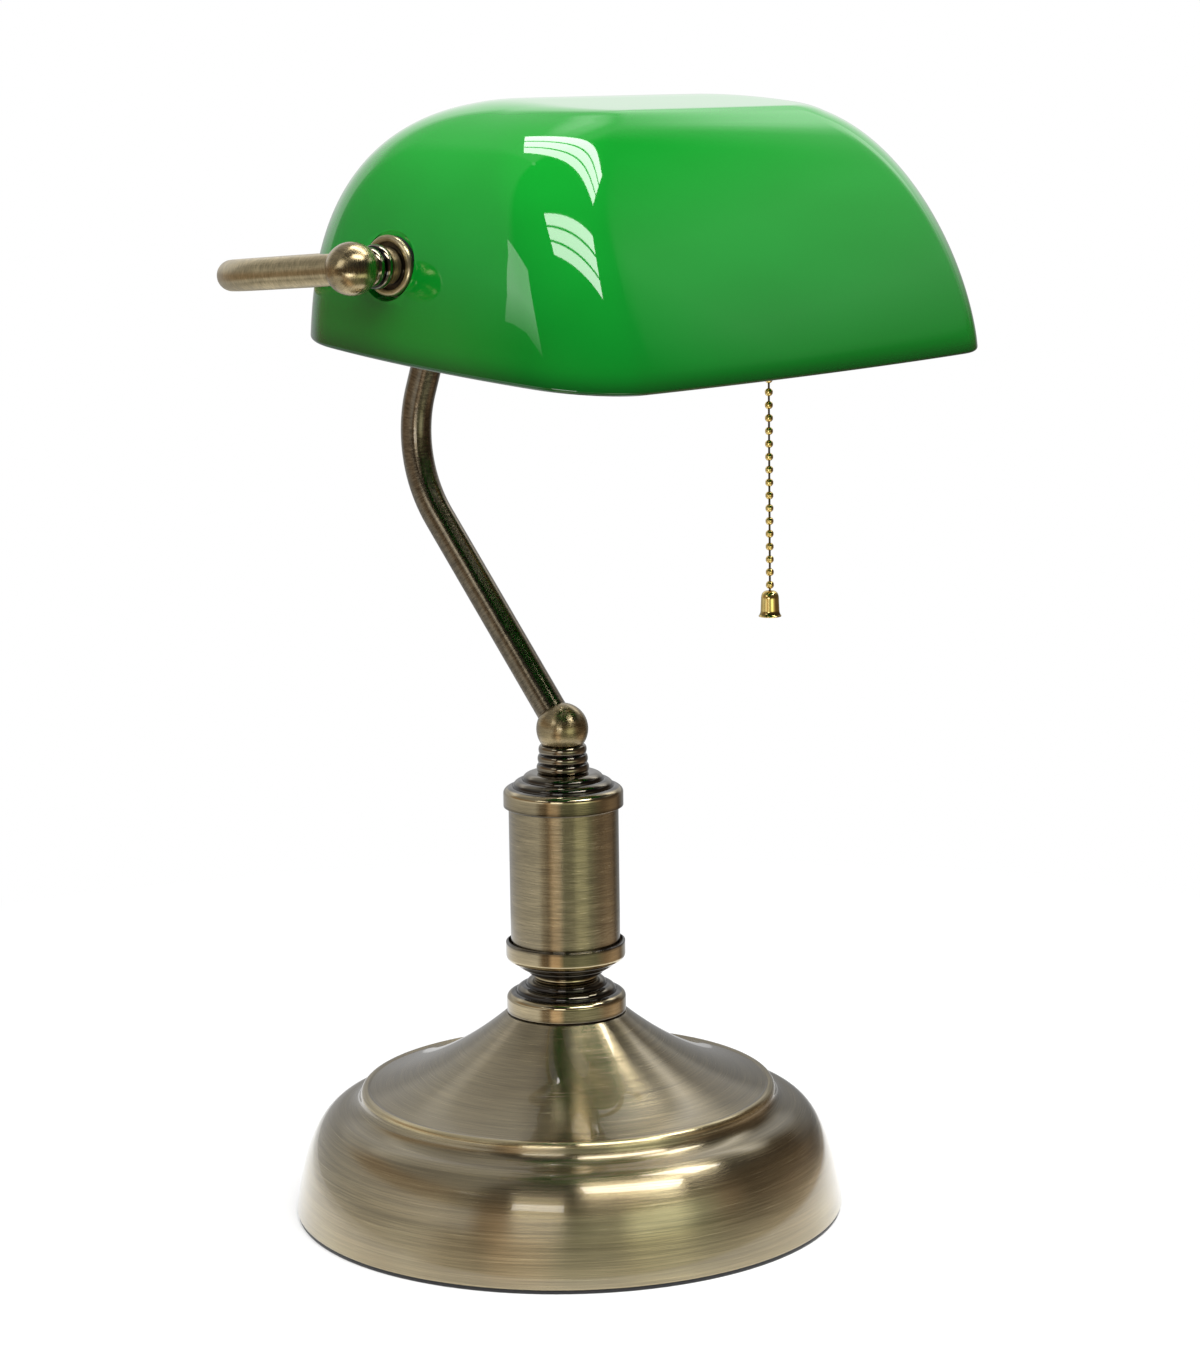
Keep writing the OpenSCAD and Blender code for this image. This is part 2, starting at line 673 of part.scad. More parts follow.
// Base
module felt_pad() { color(black) cylinder(r = base_r - pad_inset, h = pad_t); }
module base_shell() {
  color(aged_brass) difference() {
    turned(base_outline);
    turned(hollow_outline);
    translate([0, 0, seat_under - overlap]) cylinder(r = pipe_hole_r, h = base_wall + 2 * overlap);
    translate([0, 0, inlet_h]) along_y() cylinder(r = bushing_d / 2 + fixed_gap, h = base_r + overlap);
  }
}
module base_weight() {
  color(iron) translate([0, 0, pad_t])
    ring(side_r_at(weight_top) - base_wall - free_gap, weight_hole_d / 2, weight_t);
}
module cord_bushing() {
  flange_y = side_r_at(inlet_h - bushing_flange_d / 2) + bushing_flange_t;
  shank_y = side_r_at(inlet_h) - base_wall - bushing_depth;
  color(black) difference() {
    union() {
      difference() {
        translate([0, side_r_at(inlet_h + bushing_flange_d) - overlap, inlet_h]) along_y()
          cylinder(d = bushing_flange_d, h = flange_y - side_r_at(inlet_h + bushing_flange_d) + overlap);
        turned(base_outline);
      }
      translate([0, shank_y, inlet_h]) along_y() cylinder(d = bushing_d, h = flange_y - shank_y);
    }
    translate([0, shank_y - overlap, inlet_h]) along_y() cylinder(d = inlet_bore, h = flange_y);
  }
}

// Stem
module threaded_pipe() {
  color(steel) translate([0, 0, pipe_bottom]) ring(pipe_d / 2, pipe_bore / 2, pipe_top - pipe_bottom);
}
module pipe_washer() {
  color(steel) translate([0, 0, seat_under - pipe_washer_t])
    ring(pipe_washer_d / 2, pipe_hole_r, pipe_washer_t);
}
module pipe_nut() {
  color(steel) translate([0, 0, seat_under - pipe_washer_t - pipe_nut_t])
    hex_nut(pipe_nut_d, pipe_thread_r, pipe_nut_t);
}
module foot_collar() { color(aged_brass) translate([0, 0, base_h]) stepped_cup(pipe_hole_r); }
module waist_ring() {
  color(bright_brass) translate([0, 0, foot_top]) ring(waist_d / 2, pipe_hole_r, waist_h);
}
module lower_cup() {
  color(aged_brass) translate([0, 0, lower_rim]) mirror([0, 0, 1]) stepped_cup(pipe_hole_r);
}
module column_tube() {
  column_r = column_d / 2;
  color(aged_brass) translate([0, 0, column_bottom]) ring(column_r, column_r - column_wall, column_len);
}
module upper_cap() {
  color(aged_brass) translate([0, 0, cap_bottom]) stepped_cup(neck_shank_d / 2 + fixed_gap);
}
module ribbed_neck() {
  color(aged_brass) difference() {
    union() {
      translate([0, 0, cap_top]) turned(concat([[0, 0]], rib_points(neck_d, neck_h), [[0, neck_h]]));
      translate([0, 0, shank_bottom]) cylinder(d = neck_shank_d, h = cap_top - shank_bottom + overlap);
    }
    translate([0, 0, shank_bottom - overlap])
      cylinder(r = pipe_thread_r, h = bearing_bottom - shank_bottom + overlap);
    translate([0, 0, bearing_bottom - overlap])
      cylinder(r = tail_d / 2 + run_gap, h = neck_bearing_h + 2 * overlap);
  }
}
module lead_in_stem() {
  bushing_end = side_r_at(inlet_h) - base_wall - bushing_depth - free_gap;
  color(black) {
    translate([0, 0, inlet_h]) along_y() cylinder(r = lead_r, h = bushing_end);
    translate([0, 0, inlet_h]) sphere(r = lead_elbow_r);
    translate([0, 0, inlet_h]) cylinder(r = lead_r, h = pipe_top - inlet_h);
  }
}

// Arm and yoke
module arm_ball() {
  color(aged_brass) difference() {
    union() {
      translate([0, 0, ball_h]) flat_ball(arm_ball_d, arm_ball_flat_d);
      translate([0, 0, tail_bottom]) cylinder(d = tail_d, h = ball_flat - tail_bottom + overlap);
    }
    translate([0, 0, tail_bottom - overlap])
      cylinder(d = nipple_bore, h = ball_h - tail_bottom + overlap + elbow_room);
    translate([0, 0, bearing_bottom - swivel_gap - clip_t]) ring(tail_d, tail_d / 2 - clip_groove, clip_t);
    on_arm() translate([0, 0, -elbow_room]) cylinder(d = arm_bore, h = arm_ball_d);
    on_arm() translate([0, 0, tube_seat]) cylinder(r = arm_d / 2 + fixed_gap, h = arm_ball_d);
  }
}
module snap_ring() {
  color(steel) translate([0, 0, bearing_bottom - swivel_gap - clip_t])
    ring(pipe_d / 2 - run_gap, tail_d / 2 - clip_groove, clip_t);
}
// The two straight legs lap over the bend's ends by a hair, so that the tube is one solid
module arm_tube() {
  lap = 0.02;
  lap_len = 0.4;
  tube_r = arm_d / 2;
  bore_r = arm_bore / 2;
  color(aged_brass) {
    on_arm() translate([0, 0, tube_seat]) ring(tube_r + lap, bore_r - lap, lower_leg - tube_seat + lap_len);
    translate([0, bend_centre[0], bend_centre[1]]) rotate([90, 0, 90]) rotate([0, 0, -arm_lean])
      tube_bend(arm_bend_r, arm_turn, tube_r, bore_r);
    under_hub() translate([0, 0, -upper_leg - lap_len])
      ring(tube_r + lap, bore_r - lap, upper_leg + lap_len - hub_seat);
  }
}
module yoke_hub() {
  color(aged_brass) difference() {
    translate([0, hub_y, hub_h]) sphere(d = hub_d);
    translate([-hub_d, hub_y, hub_h]) along_x() cylinder(r = yoke_d / 2 + fixed_gap, h = 2 * hub_d);
    under_hub() translate([0, 0, -hub_d - hub_seat]) cylinder(r = arm_d / 2 + fixed_gap, h = hub_d);
    under_hub() translate([0, 0, -hub_d]) cylinder(d = arm_bore, h = hub_d);
  }
}
module yoke_tube() {
  tube_r = yoke_d / 2;
  bore_r = arm_bore / 2;
  bend_x = yoke_ball_x - yoke_bend_r;
  bend_y = yoke_len - yoke_bend_r;
  color(aged_brass) difference() {
    on_yoke() {
      for (side = [0, 1]) mirror([side, 0, 0]) {
        translate([yoke_ball_x, tube_seat, 0]) along_y() ring(tube_r, bore_r, bend_y - tube_seat);
        translate([bend_x, bend_y, 0]) tube_bend(yoke_bend_r, 90, tube_r, bore_r);
      }
      translate([-bend_x, yoke_len, 0]) along_x() ring(tube_r, bore_r, 2 * bend_x);
    }
    under_hub() translate([0, 0, -hub_d]) cylinder(d = arm_bore, h = hub_d);
  }
}
module yoke_ball_left() { color(aged_brass) at_axis() mirror([1, 0, 0]) yoke_ball(); }
module yoke_ball_right() { color(aged_brass) at_axis() yoke_ball(); }
module friction_washers() {
  color(steel) for (side = [-1, 1]) at_knob(side) translate([0, 0, knob_reach - friction_washer_t])
    ring(friction_washer_d / 2, nipple_d / 2 + run_gap, friction_washer_t);
}
// The lead turns at the arm ball, in the arm's bend, at the hub, in the yoke's bend and at the right ball
module lead_in_arm() {
  hub = [0, hub_y, hub_h];
  ball = [yoke_ball_x, axis_y, axis_h];
  route = [
    [0, 0, tail_bottom], [0, 0, ball_h], [0, corner[0], corner[1]], hub,
    hub + [yoke_ball_x, 0, 0], ball, ball - [yoke_ball_x - nipple_outer - free_gap, 0, 0]
  ];
  bends = [0, lead_bend_r, arm_bend_r, lead_bend_r, yoke_bend_r, lead_bend_r, 0];
  path = [
    route[0],
    for (i = [1:len(route) - 2]) each corner_arc(route[i - 1], route[i], route[i + 1], bends[i]),
    route[len(route) - 1]
  ];
  color(black) swept_tube(path, lead_r);
}

// Shade and knobs
module glass_shell() {
  levels = [for (i = [0:glass_levels]) sin(90 * i / glass_levels)];
  points = concat([for (t = levels) each shade_ring(t, 0)], [for (t = levels) each shade_ring(t, glass_t)]);
  faces = concat(
    wall_faces(0, false), wall_faces(inner_first, true), rim_faces,
    lid_faces(last_ring, false), lid_faces(inner_first + last_ring, true)
  );
  at_axis() rotate([shade_tilt, 0, 0]) translate([0, -axis_back, -axis_rise])
    polyhedron(points = points, faces = faces);
}
module shade() {
  color(green_glass) difference() {
    union() {
      glass_shell();
      for (side = [-1, 1]) inside(side, 0) translate([0, 0, -seat_t]) cylinder(d = seat_d, h = seat_t);
    }
    for (side = [-1, 1]) at_knob(side) {
      cylinder(d = seat_d, h = seat_inset + overlap);
      translate([0, 0, -seat_t - overlap]) cylinder(d = glass_hole_d, h = seat_t + 2 * overlap);
    }
  }
}
module knob_neck_left() { color(aged_brass) at_knob(-1) knob_neck(); }
module knob_neck_right() { color(aged_brass) at_knob(1) knob_neck(); }
module flange_left() { color(aged_brass) at_knob(-1) flange(); }
module flange_right() { color(aged_brass) at_knob(1) flange(); }
module nipple_left() { color(steel) nipple(-1, gasket_t + clamp_washer_t + nipple_nut_t + nipple_tail); }
module nipple_right() { color(steel) nipple(1, locknut_start + nipple_nut_t + nipple_tail); }
module glass_gaskets() {
  color(black) for (side = [-1, 1]) {
    at_knob(side) ring(gasket_d / 2, nipple_d / 2 + free_gap, gasket_t);
    inside(side, 0) ring(gasket_d / 2, nipple_d / 2 + free_gap, gasket_t);
  }
}
module clamp_washer() {
  color(steel) inside(-1, gasket_t) ring(gasket_d / 2, nipple_d / 2 + fixed_gap, clamp_washer_t);
}
module clamp_nut() {
  color(steel) inside(-1, gasket_t + clamp_washer_t) hex_nut(nipple_nut_d, nipple_thread_r, nipple_nut_t);
}

// Lamp holder
module cap_locknut() {
  color(steel) inside(1, locknut_start) hex_nut(nipple_nut_d, nipple_thread_r, nipple_nut_t);
}
module holder_cap() {
  cap_r = cap_d / 2;
  color(bright_brass) inside(1, cap_start) difference() {
    turned(concat(
      [[0, 0]],
      bend_points([gasket_d / 2, 0], [cap_r, 0], [cap_r, cap_round_len]),
      [[cap_r, cap_len], [0, cap_len]]
    ));
    translate([0, 0, shell_start - cap_start - free_gap]) cylinder(r = shell_r + fixed_gap, h = cap_len);
    translate([0, 0, cap_end_t]) cylinder(r = nipple_nut_d / 2 + overlap, h = cap_len);
    translate([0, 0, -overlap]) cylinder(r = nipple_thread_r, h = cap_len);
  }
}
module holder_shell() {
  color(bright_brass) difference() {
    inside(1, shell_start) ring(shell_r, shell_r - shell_t, shell_len);
    guide_hole();
  }
}
module holder_sleeve() {
  color(fibre) difference() {
    inside(1, shell_start) ring(sleeve_r, sleeve_r - sleeve_t, shell_len - overlap);
    guide_hole();
  }
}
module switch_body() {
  half_w = lever_w / 2 + lever_side_gap;
  pocket_bottom = pivot_h - pocket_depth;
  pocket_top = top_bead_h + bead_r + overlap;
  pocket_end = inner_seat_x - switch_end + pocket_wall;
  pocket_start = chain_x + guide_d / 2 + lever_side_gap;
  color(black) difference() {
    inside(1, switch_start) cylinder(r = switch_r, h = switch_len);
    translate([pocket_end, axis_y - half_w, pocket_bottom])
      cube([pocket_start - pocket_end, 2 * half_w, pocket_top - pocket_bottom]);
    translate([pivot_x, axis_y - pin_len / 2, pivot_h]) along_y()
      cylinder(r = pin_d / 2 + thread_gap, h = pin_len);
    guide_hole();
  }
}
module lever_pin() {
  color(steel) translate([pivot_x, axis_y - pin_len / 2, pivot_h]) along_y() cylinder(d = pin_d, h = pin_len);
}
module screw_shell() {
  color(bright_brass) inside(1, switch_end) ring(screw_d / 2 + screw_t, screw_d / 2, screw_len);
}
module centre_contact() { color(bright_brass) inside(1, switch_end) cylinder(d = contact_d, h = contact_t); }
module chain_guide() {
  guide_r = guide_d / 2;
  collar_r = guide_r + guide_collar_w;
  top_h = pivot_h - pocket_depth + free_gap - mouth_h;
  collar_h = axis_h - shell_r - fixed_gap - mouth_h;
  color(bright_brass) translate([chain_x, axis_y, mouth_h]) difference() {
    turned([
      [0, 0], [guide_mouth_d / 2, 0], [guide_mouth_d / 2, guide_lip_t], [guide_r, guide_flare_h],
      [guide_r, collar_h - guide_lip_t], [collar_r, collar_h - guide_lip_t], [collar_r, collar_h],
      [guide_r, collar_h], [guide_r, top_h], [0, top_h]
    ]);
    translate([0, 0, -overlap]) cylinder(r = bead_r + free_gap, h = axis_h - mouth_h);
  }
}
module lead_in_holder() {
  color(black) inside(1, inner_seat_x - nipple_outer)
    cylinder(r = lead_r, h = nipple_outer - inner_seat_x + switch_start);
}

// Bulb
module bulb_cap() {
  end = bulb_button_len + bulb_cap_len;
  color(steel) inside(1, bulb_tip) turned([
    [0, 0], [contact_d / 2, 0], [contact_d / 2, bulb_button_len],
    [bulb_cap_d / 2, bulb_button_len + bulb_cone_len], [bulb_cap_d / 2, end], [0, end]
  ]);
}
module bulb_glass() {
  tube_r = bulb_d / 2;
  neck_r = bulb_cap_d / 2 - free_gap;
  color(opal) inside(1, bulb_glass_start) turned(concat(
    [[0, 0]],
    bend_points([neck_r, 0], [tube_r, bulb_neck_len / 2], [tube_r, bulb_neck_len]),
    bend_points([tube_r, bulb_len - tube_r], [tube_r, bulb_len], [0, bulb_len])
  ));
}

// Pull switch and chain
module switch_lever() {
  hub_r = pin_d / 2 + lever_t;
  reach = lever_len / cos(lever_rest) + bead_r;
  slot_w = link_d + 2 * swivel_gap;
  color(bright_brass) translate([pivot_x, axis_y, pivot_h]) rotate([0, -lever_rest, 0]) difference() {
    union() {
      translate([0, -lever_w / 2, 0]) along_y() cylinder(r = hub_r, h = lever_w);
      translate([0, -lever_w / 2, -lever_t / 2]) cube([reach, lever_w, lever_t]);
    }
    translate([0, -lever_w, 0]) along_y() cylinder(r = pin_d / 2 + run_gap, h = 2 * lever_w);
    translate([lever_len * cos(lever_rest) - bead_r, -slot_w / 2, -lever_t])
      cube([reach, slot_w, 2 * lever_t]);
  }
}
module chain_top() {
  color(bright_brass) {
    bead(top_bead_h);
    link(top_bead_h, knuckle_h + bead_r + free_gap);
    bead(knuckle_h + bead_pitch);
  }
}
module chain_knuckle() { color(bright_brass) bead(knuckle_h); }
module pull_chain() {
  color(bright_brass) {
    for (i = [1:bead_count]) bead(knuckle_h - i * bead_pitch);
    link(knuckle_h - bead_r - free_gap, bell_bead_h);
    bead(bell_bead_h);
  }
}
module chain_bell() {
  crown_r = bell_crown_d / 2;
  crown_h = bell_h - bell_crown_h;
  mouth_r = bell_d / 2;
  color(bright_brass) translate([chain_x, axis_y, bell_bottom]) difference() {
    turned(concat(
      [[0, 0], [mouth_r, 0], [mouth_r, bell_lip_h]],
      bend_points([mouth_r - bell_lip_h / 2, bell_lip_h], [crown_r, crown_h / 2], [crown_r, crown_h]),
      bend_points([crown_r - bell_t / 2, crown_h], [crown_r - bell_t / 2, bell_h], [link_d, bell_h]),
      [[0, bell_h]]
    ));
    translate([0, 0, -overlap]) cylinder(d = bell_hollow_d, h = bell_h - bell_t + overlap);
    cylinder(r = link_d / 2 + fixed_gap, h = bell_h + overlap);
  }
}

felt_pad();
base_shell();
base_weight();
cord_bushing();
threaded_pipe();
pipe_washer();
pipe_nut();
foot_collar();
waist_ring();
lower_cup();
column_tube();
upper_cap();
ribbed_neck();
lead_in_stem();
arm_ball();
snap_ring();
arm_tube();
yoke_hub();
yoke_tube();
yoke_ball_left();
yoke_ball_right();
friction_washers();
lead_in_arm();
shade();
knob_neck_left();
knob_neck_right();
flange_left();
flange_right();
nipple_left();
nipple_right();
glass_gaskets();
clamp_washer();
clamp_nut();
cap_locknut();
holder_cap();
holder_shell();
holder_sleeve();
switch_body();
lever_pin();
screw_shell();
centre_contact();
chain_guide();
lead_in_holder();
bulb_cap();
bulb_glass();
switch_lever();
chain_top();
chain_knuckle();
pull_chain();
chain_bell();
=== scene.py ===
"""Looks of the bankers lamp: turned and brushed brass, cased green glass, bead chain, bulb and studio.

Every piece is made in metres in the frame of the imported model, and rides on one of its bodies.
Sizes of the lamp's pieces below are in millimetres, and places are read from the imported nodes' boxes.
The studio's sizes and places are in metres.
"""

import logging
import math
from dataclasses import dataclass, field
from enum import Enum
from typing import Sequence

import bmesh
import bpy
import numpy as np
from mathutils import Matrix, Vector


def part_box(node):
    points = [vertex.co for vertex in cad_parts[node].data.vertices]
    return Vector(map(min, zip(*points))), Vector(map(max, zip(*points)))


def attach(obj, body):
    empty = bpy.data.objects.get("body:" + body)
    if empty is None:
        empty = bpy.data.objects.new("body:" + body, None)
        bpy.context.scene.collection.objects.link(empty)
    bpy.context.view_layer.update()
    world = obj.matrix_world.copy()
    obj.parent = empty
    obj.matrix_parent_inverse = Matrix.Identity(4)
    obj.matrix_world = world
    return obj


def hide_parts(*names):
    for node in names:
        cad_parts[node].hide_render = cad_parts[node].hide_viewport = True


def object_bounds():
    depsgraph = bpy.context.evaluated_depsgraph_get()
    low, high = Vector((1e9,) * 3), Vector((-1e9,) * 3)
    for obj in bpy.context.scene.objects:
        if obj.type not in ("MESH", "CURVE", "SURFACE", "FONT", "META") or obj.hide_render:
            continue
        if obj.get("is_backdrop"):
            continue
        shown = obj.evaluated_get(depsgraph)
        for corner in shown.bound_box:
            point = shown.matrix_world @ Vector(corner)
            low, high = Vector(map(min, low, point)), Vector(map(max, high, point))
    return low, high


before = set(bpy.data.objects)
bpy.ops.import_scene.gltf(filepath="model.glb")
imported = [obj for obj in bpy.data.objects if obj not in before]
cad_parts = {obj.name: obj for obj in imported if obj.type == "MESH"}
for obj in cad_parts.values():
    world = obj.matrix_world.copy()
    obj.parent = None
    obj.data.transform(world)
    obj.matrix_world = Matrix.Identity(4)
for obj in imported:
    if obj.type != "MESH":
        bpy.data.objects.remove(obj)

log = logging.getLogger("bankers_lamp")

MM = 0.001
# Points closer than this many millimetres are one point
DOUBLED = 1e-4
# Edges that turn by more than this are sharp
SHARP = math.radians(50)
UP = Vector((0, 0, 1))
ALONG = Vector((1, 0, 0))
BACK = Vector((0, 1, 0))
GRAIN = "grain"
WEAR_AND_PAINTED_LIGHT = "wear_and_painted_light"
RIM_SHADE = "rim"
LEVEL = "level"
VEIL = "veil"
TURNING_MAP = "turning"
# A mix node's sockets for colours go by number, because their names repeat
MIX_FIRST = 6
MIX_SECOND = 7
MIX_RESULT = 2

Point = tuple[float, float]
Place = tuple[float, float, float]
Colour = tuple[float, float, float]


class Body(Enum):
    """The moving bodies that new pieces ride on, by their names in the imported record."""

    BASE = "base"
    ARM = "arm"
    SHADE = "shade_assembly"
    CHAIN_TOP = "chain_top"
    KNUCKLE = "chain_knuckle"
    CHAIN = "chain"


class Slot(Enum):
    """The record's material slots, one named with each new piece."""

    FELT = "felt"
    AGED_BRASS = "aged_brass"
    BRIGHT_BRASS = "bright_brass"
    GREEN_GLASS = "green_glass"
    OPAL_GLASS = "opal_glass"


class Cloth(Enum):
    """Colours of the cloths that the studio shows to the brass."""

    WHITE = (1.0, 1.0, 1.0)
    BROWN = (1.0, 0.76, 0.55)
    OLIVE = (0.93, 1.0, 0.74)


class Side(Enum):
    """The two ends of the shade, as the sign of X."""

    LEFT = -1
    RIGHT = 1

    @property
    def outward(self) -> Vector:
        """The way out of the shade at this end."""
        return Vector((self.value, 0, 0))

    def node(self, kind: str) -> str:
        """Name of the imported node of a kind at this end."""
        return f"{kind}_{self.name.lower()}"


# Outlines


def curve(ways: Sequence[Point], steps: int = 14) -> list[Point]:
    """Points along a smooth curve.

    Args:
        ways: First point, one or two handles that the curve bends towards, and last point.
        steps: Count of stretches between the points.

    Returns:
        The points, both ends included.
    """
    order = len(ways) - 1
    points = []
    for i in range(steps + 1):
        t = i / steps
        shares = [math.comb(order, k) * t**k * (1 - t) ** (order - k) for k in range(order + 1)]
        x, y = (sum(share * way[axis] for share, way in zip(shares, ways)) for axis in (0, 1))
        points.append((x, y))
    return points


def arc(centre: Point, radius: float, start: float, end: float, steps: int = 16) -> list[Point]:
    """Points along an arc of a circle.

    Args:
        centre: Centre of the circle.
        radius: Radius of the circle.
        start: First angle, in degrees.
        end: Last angle, in degrees.
        steps: Count of stretches between the points.

    Returns:
        The points, both ends included.
    """
    angles = [math.radians(start + (end - start) * i / steps) for i in range(steps + 1)]
    return [(centre[0] + radius * math.cos(a), centre[1] + radius * math.sin(a)) for a in angles]


def rod(radius: float, low: float, high: float, bore: float = 0.0) -> list[Point]:
    """Outline of a plain round rod or tube between two heights."""
    return [(bore, low), (radius, low), (radius, high), (bore, high)]


def soften(outline: Sequence[Point], radius: float, steps: int = 4) -> list[Point]:
    """Rounds the corners of a closed outline, as turning and polishing do.

    Args:
        outline: Points of the outline, counter-clockwise.
        radius: Radius of the rounding, limited by the edges beside each corner.
        steps: Count of stretches in each rounding.

    Returns:
        The rounded outline.
    """
    corner_turn = math.radians(16)
    reach = 0.45
    made: list[Point] = []
    count = len(outline)
    for i, here in enumerate(outline):
        before, after = outline[i - 1], outline[(i + 1) % count]
        arrive = Vector((here[0] - before[0], here[1] - before[1]))
        leave = Vector((after[0] - here[0], after[1] - here[1]))
        turn = abs(arrive.angle_signed(leave)) if arrive.length and leave.length else 0.0
        if turn < corner_turn or here[0] <= 0:
            made.append(here)
            continue
        cut = min(radius * math.tan(turn / 2), reach * arrive.length, reach * leave.length)
        a = Vector(here) - arrive.normalized() * cut
        b = Vector(here) + leave.normalized() * cut
        made.extend(curve([tuple(a), here, tuple(b)], steps))
    return made


def densify(outline: Sequence[Point], spacing: float) -> list[Point]:
    """Splits the long edges of a closed outline.

    Args:
        outline: Points of the outline.
        spacing: Longest edge that stays whole.

    Returns:
        The outline with points added on its long edges, and doubled points left out.
    """
    made: list[Point] = []
    count = len(outline)
    for i, here in enumerate(outline):
        after = outline[(i + 1) % count]
        length = math.dist(here, after)
        if length < DOUBLED:
            continue
        on_axis = here[0] <= 0 and after[0] <= 0
        parts = 1 if on_axis else max(1, math.ceil(length / spacing))
        for j in range(parts):
            t = j / parts
            made.append((here[0] + (after[0] - here[0]) * t, here[1] + (after[1] - here[1]) * t))
    return made


def wear_and_painted_light_along(outline: Sequence[Point], width: float, shoulder: float, hollow: float) -> np.ndarray:
    """How bright each point of a closed outline is made by rubbing and a painted highlight, or how dark by
    painted shade.

    Args:
        outline: Points of the outline, counter-clockwise.
        width: Reach of a shoulder's effect along the outline.
        shoulder: Radius of the roundings that get the most rubbing and painted highlight; flat stretches and
            thin edges get less.
        hollow: Reach of the painted shade of a groove along the outline.

    Returns:
        One value a point, from -1 for painted shade in a groove to 1 for rubbing and painted highlight on a
        shoulder.
    """
    points = np.array(outline, float)
    arrive = points - np.roll(points, 1, axis=0)
    leave = np.roll(points, -1, axis=0) - points
    turn = np.arctan2(
        arrive[:, 0] * leave[:, 1] - arrive[:, 1] * leave[:, 0],
        (arrive * leave).sum(axis=1),
    )
    lengths = np.linalg.norm(leave, axis=1)
    reach = (lengths + np.roll(lengths, 1)) / 2
    # Shoulders: rubbing with a painted highlight
    bend = np.maximum(turn, 0.0) / reach * shoulder
    rubbing_and_highlight = 2 * bend / (1 + bend**2)
    along = np.concatenate([[0.0], np.cumsum(lengths)[:-1]])
    gap = np.abs(along[:, None] - along[None, :])
    gap = np.minimum(gap, lengths.sum() - gap)
    near = np.exp(-((gap / width) ** 2))
    shares = near * reach[None, :]
    bright = (shares @ rubbing_and_highlight) / shares.sum(axis=1)
    # Grooves: painted shade
    dark = np.exp(-((gap / hollow) ** 2)) @ np.minimum(turn, 0.0)
    return np.clip(bright + dark, -1.0, 1.0)


# Meshes


def mesh_object(name: str, points: np.ndarray, faces: Sequence[Sequence[int]]) -> bpy.types.Object:
    """A new object with a smooth mesh.

    Args:
        name: Name of the piece.
        points: Vertices in metres, one row each.
        faces: Vertex numbers of each face.

    Returns:
        The object, linked to the scene.
    """
    mesh = bpy.data.meshes.new(name)
    mesh.from_pydata([tuple(p) for p in points], [], [tuple(f) for f in faces])
    mesh.polygons.foreach_set("use_smooth", [True] * len(mesh.polygons))
    mesh.update()
    made = bpy.data.objects.new(name, mesh)
    bpy.context.scene.collection.objects.link(made)
    return made


def add_values(made: bpy.types.Object, name: str, values: np.ndarray) -> None:
    """Stores one number or one vector for each vertex of a piece.

    Args:
        made: The piece.
        name: Name of the attribute.
        values: One number a vertex, or one row of three.
    """
    kind, key = ("FLOAT_VECTOR", "vector") if values.ndim == 2 else ("FLOAT", "value")
    made.data.attributes.new(name, kind, "POINT").data.foreach_set(key, values.astype(np.float32).ravel())


def brushed_object(
    name: str, points: np.ndarray, faces: Sequence[Sequence[int]], maps: Sequence[Point],
    grain: np.ndarray, wear_and_painted_light: np.ndarray,
) -> bpy.types.Object:
    """A new object with the map and the values that brushed metal needs.

    Args:
        name: Name of the piece.
        points: Vertices in metres, one row each.
        faces: Vertex numbers of each face.
        maps: The map's place for each corner of the faces.
        grain: Length along the piece and the way round it, one row a vertex.
        wear_and_painted_light: Each vertex's rubbing with painted highlight, up to 1, or painted shade, down
            to -1.

    Returns:
        The object, linked to the scene.
    """
    made = mesh_object(name, points, faces)
    add_values(made, GRAIN, grain)
    add_values(made, WEAR_AND_PAINTED_LIGHT, wear_and_painted_light)
    layer = made.data.uv_layers.new(name=TURNING_MAP)
    layer.data.foreach_set("uv", np.array(maps, np.float32).ravel())
    made.data.set_sharp_from_angle(angle=SHARP)
    return made


def stand(origin: Vector, axis: Vector) -> Matrix:
    """Placing of a turned piece.

    Args:
        origin: Where the outline's zero height goes.
        axis: Way that the outline's heights run.

    Returns:
        The matrix from the turned piece's own frame to the lamp's frame.
    """
    return Matrix.Translation(origin) @ axis.to_track_quat("Z", "Y").to_matrix().to_4x4()


def upright(height: float) -> Matrix:
    """Placing of a piece that stands on the stem's axis, with its foot at a height in metres."""
    return stand(Vector((0, 0, height)), UP)


def combine(made: bpy.types.Object, tool: bpy.types.Object, way: str) -> None:
    """Adds a solid to a piece or takes it away, and removes the solid.

    Args:
        made: The piece, whose mesh is renewed.
        tool: The solid.
        way: UNION or DIFFERENCE.
    """
    step = made.modifiers.new("combine", "BOOLEAN")
    step.object, step.operation, step.solver = tool, way, "EXACT"
    bpy.context.view_layer.update()
    renewed = bpy.data.meshes.new_from_object(made.evaluated_get(bpy.context.evaluated_depsgraph_get()))
    made.modifiers.remove(step)
    cleaned = bmesh.new()
    cleaned.from_mesh(renewed)
    bmesh.ops.remove_doubles(cleaned, verts=cleaned.verts, dist=DOUBLED * MM)
    bmesh.ops.dissolve_degenerate(cleaned, edges=cleaned.edges, dist=DOUBLED * MM)
    cleaned.to_mesh(renewed)
    cleaned.free()
    made.data = renewed
    bpy.data.objects.remove(tool)


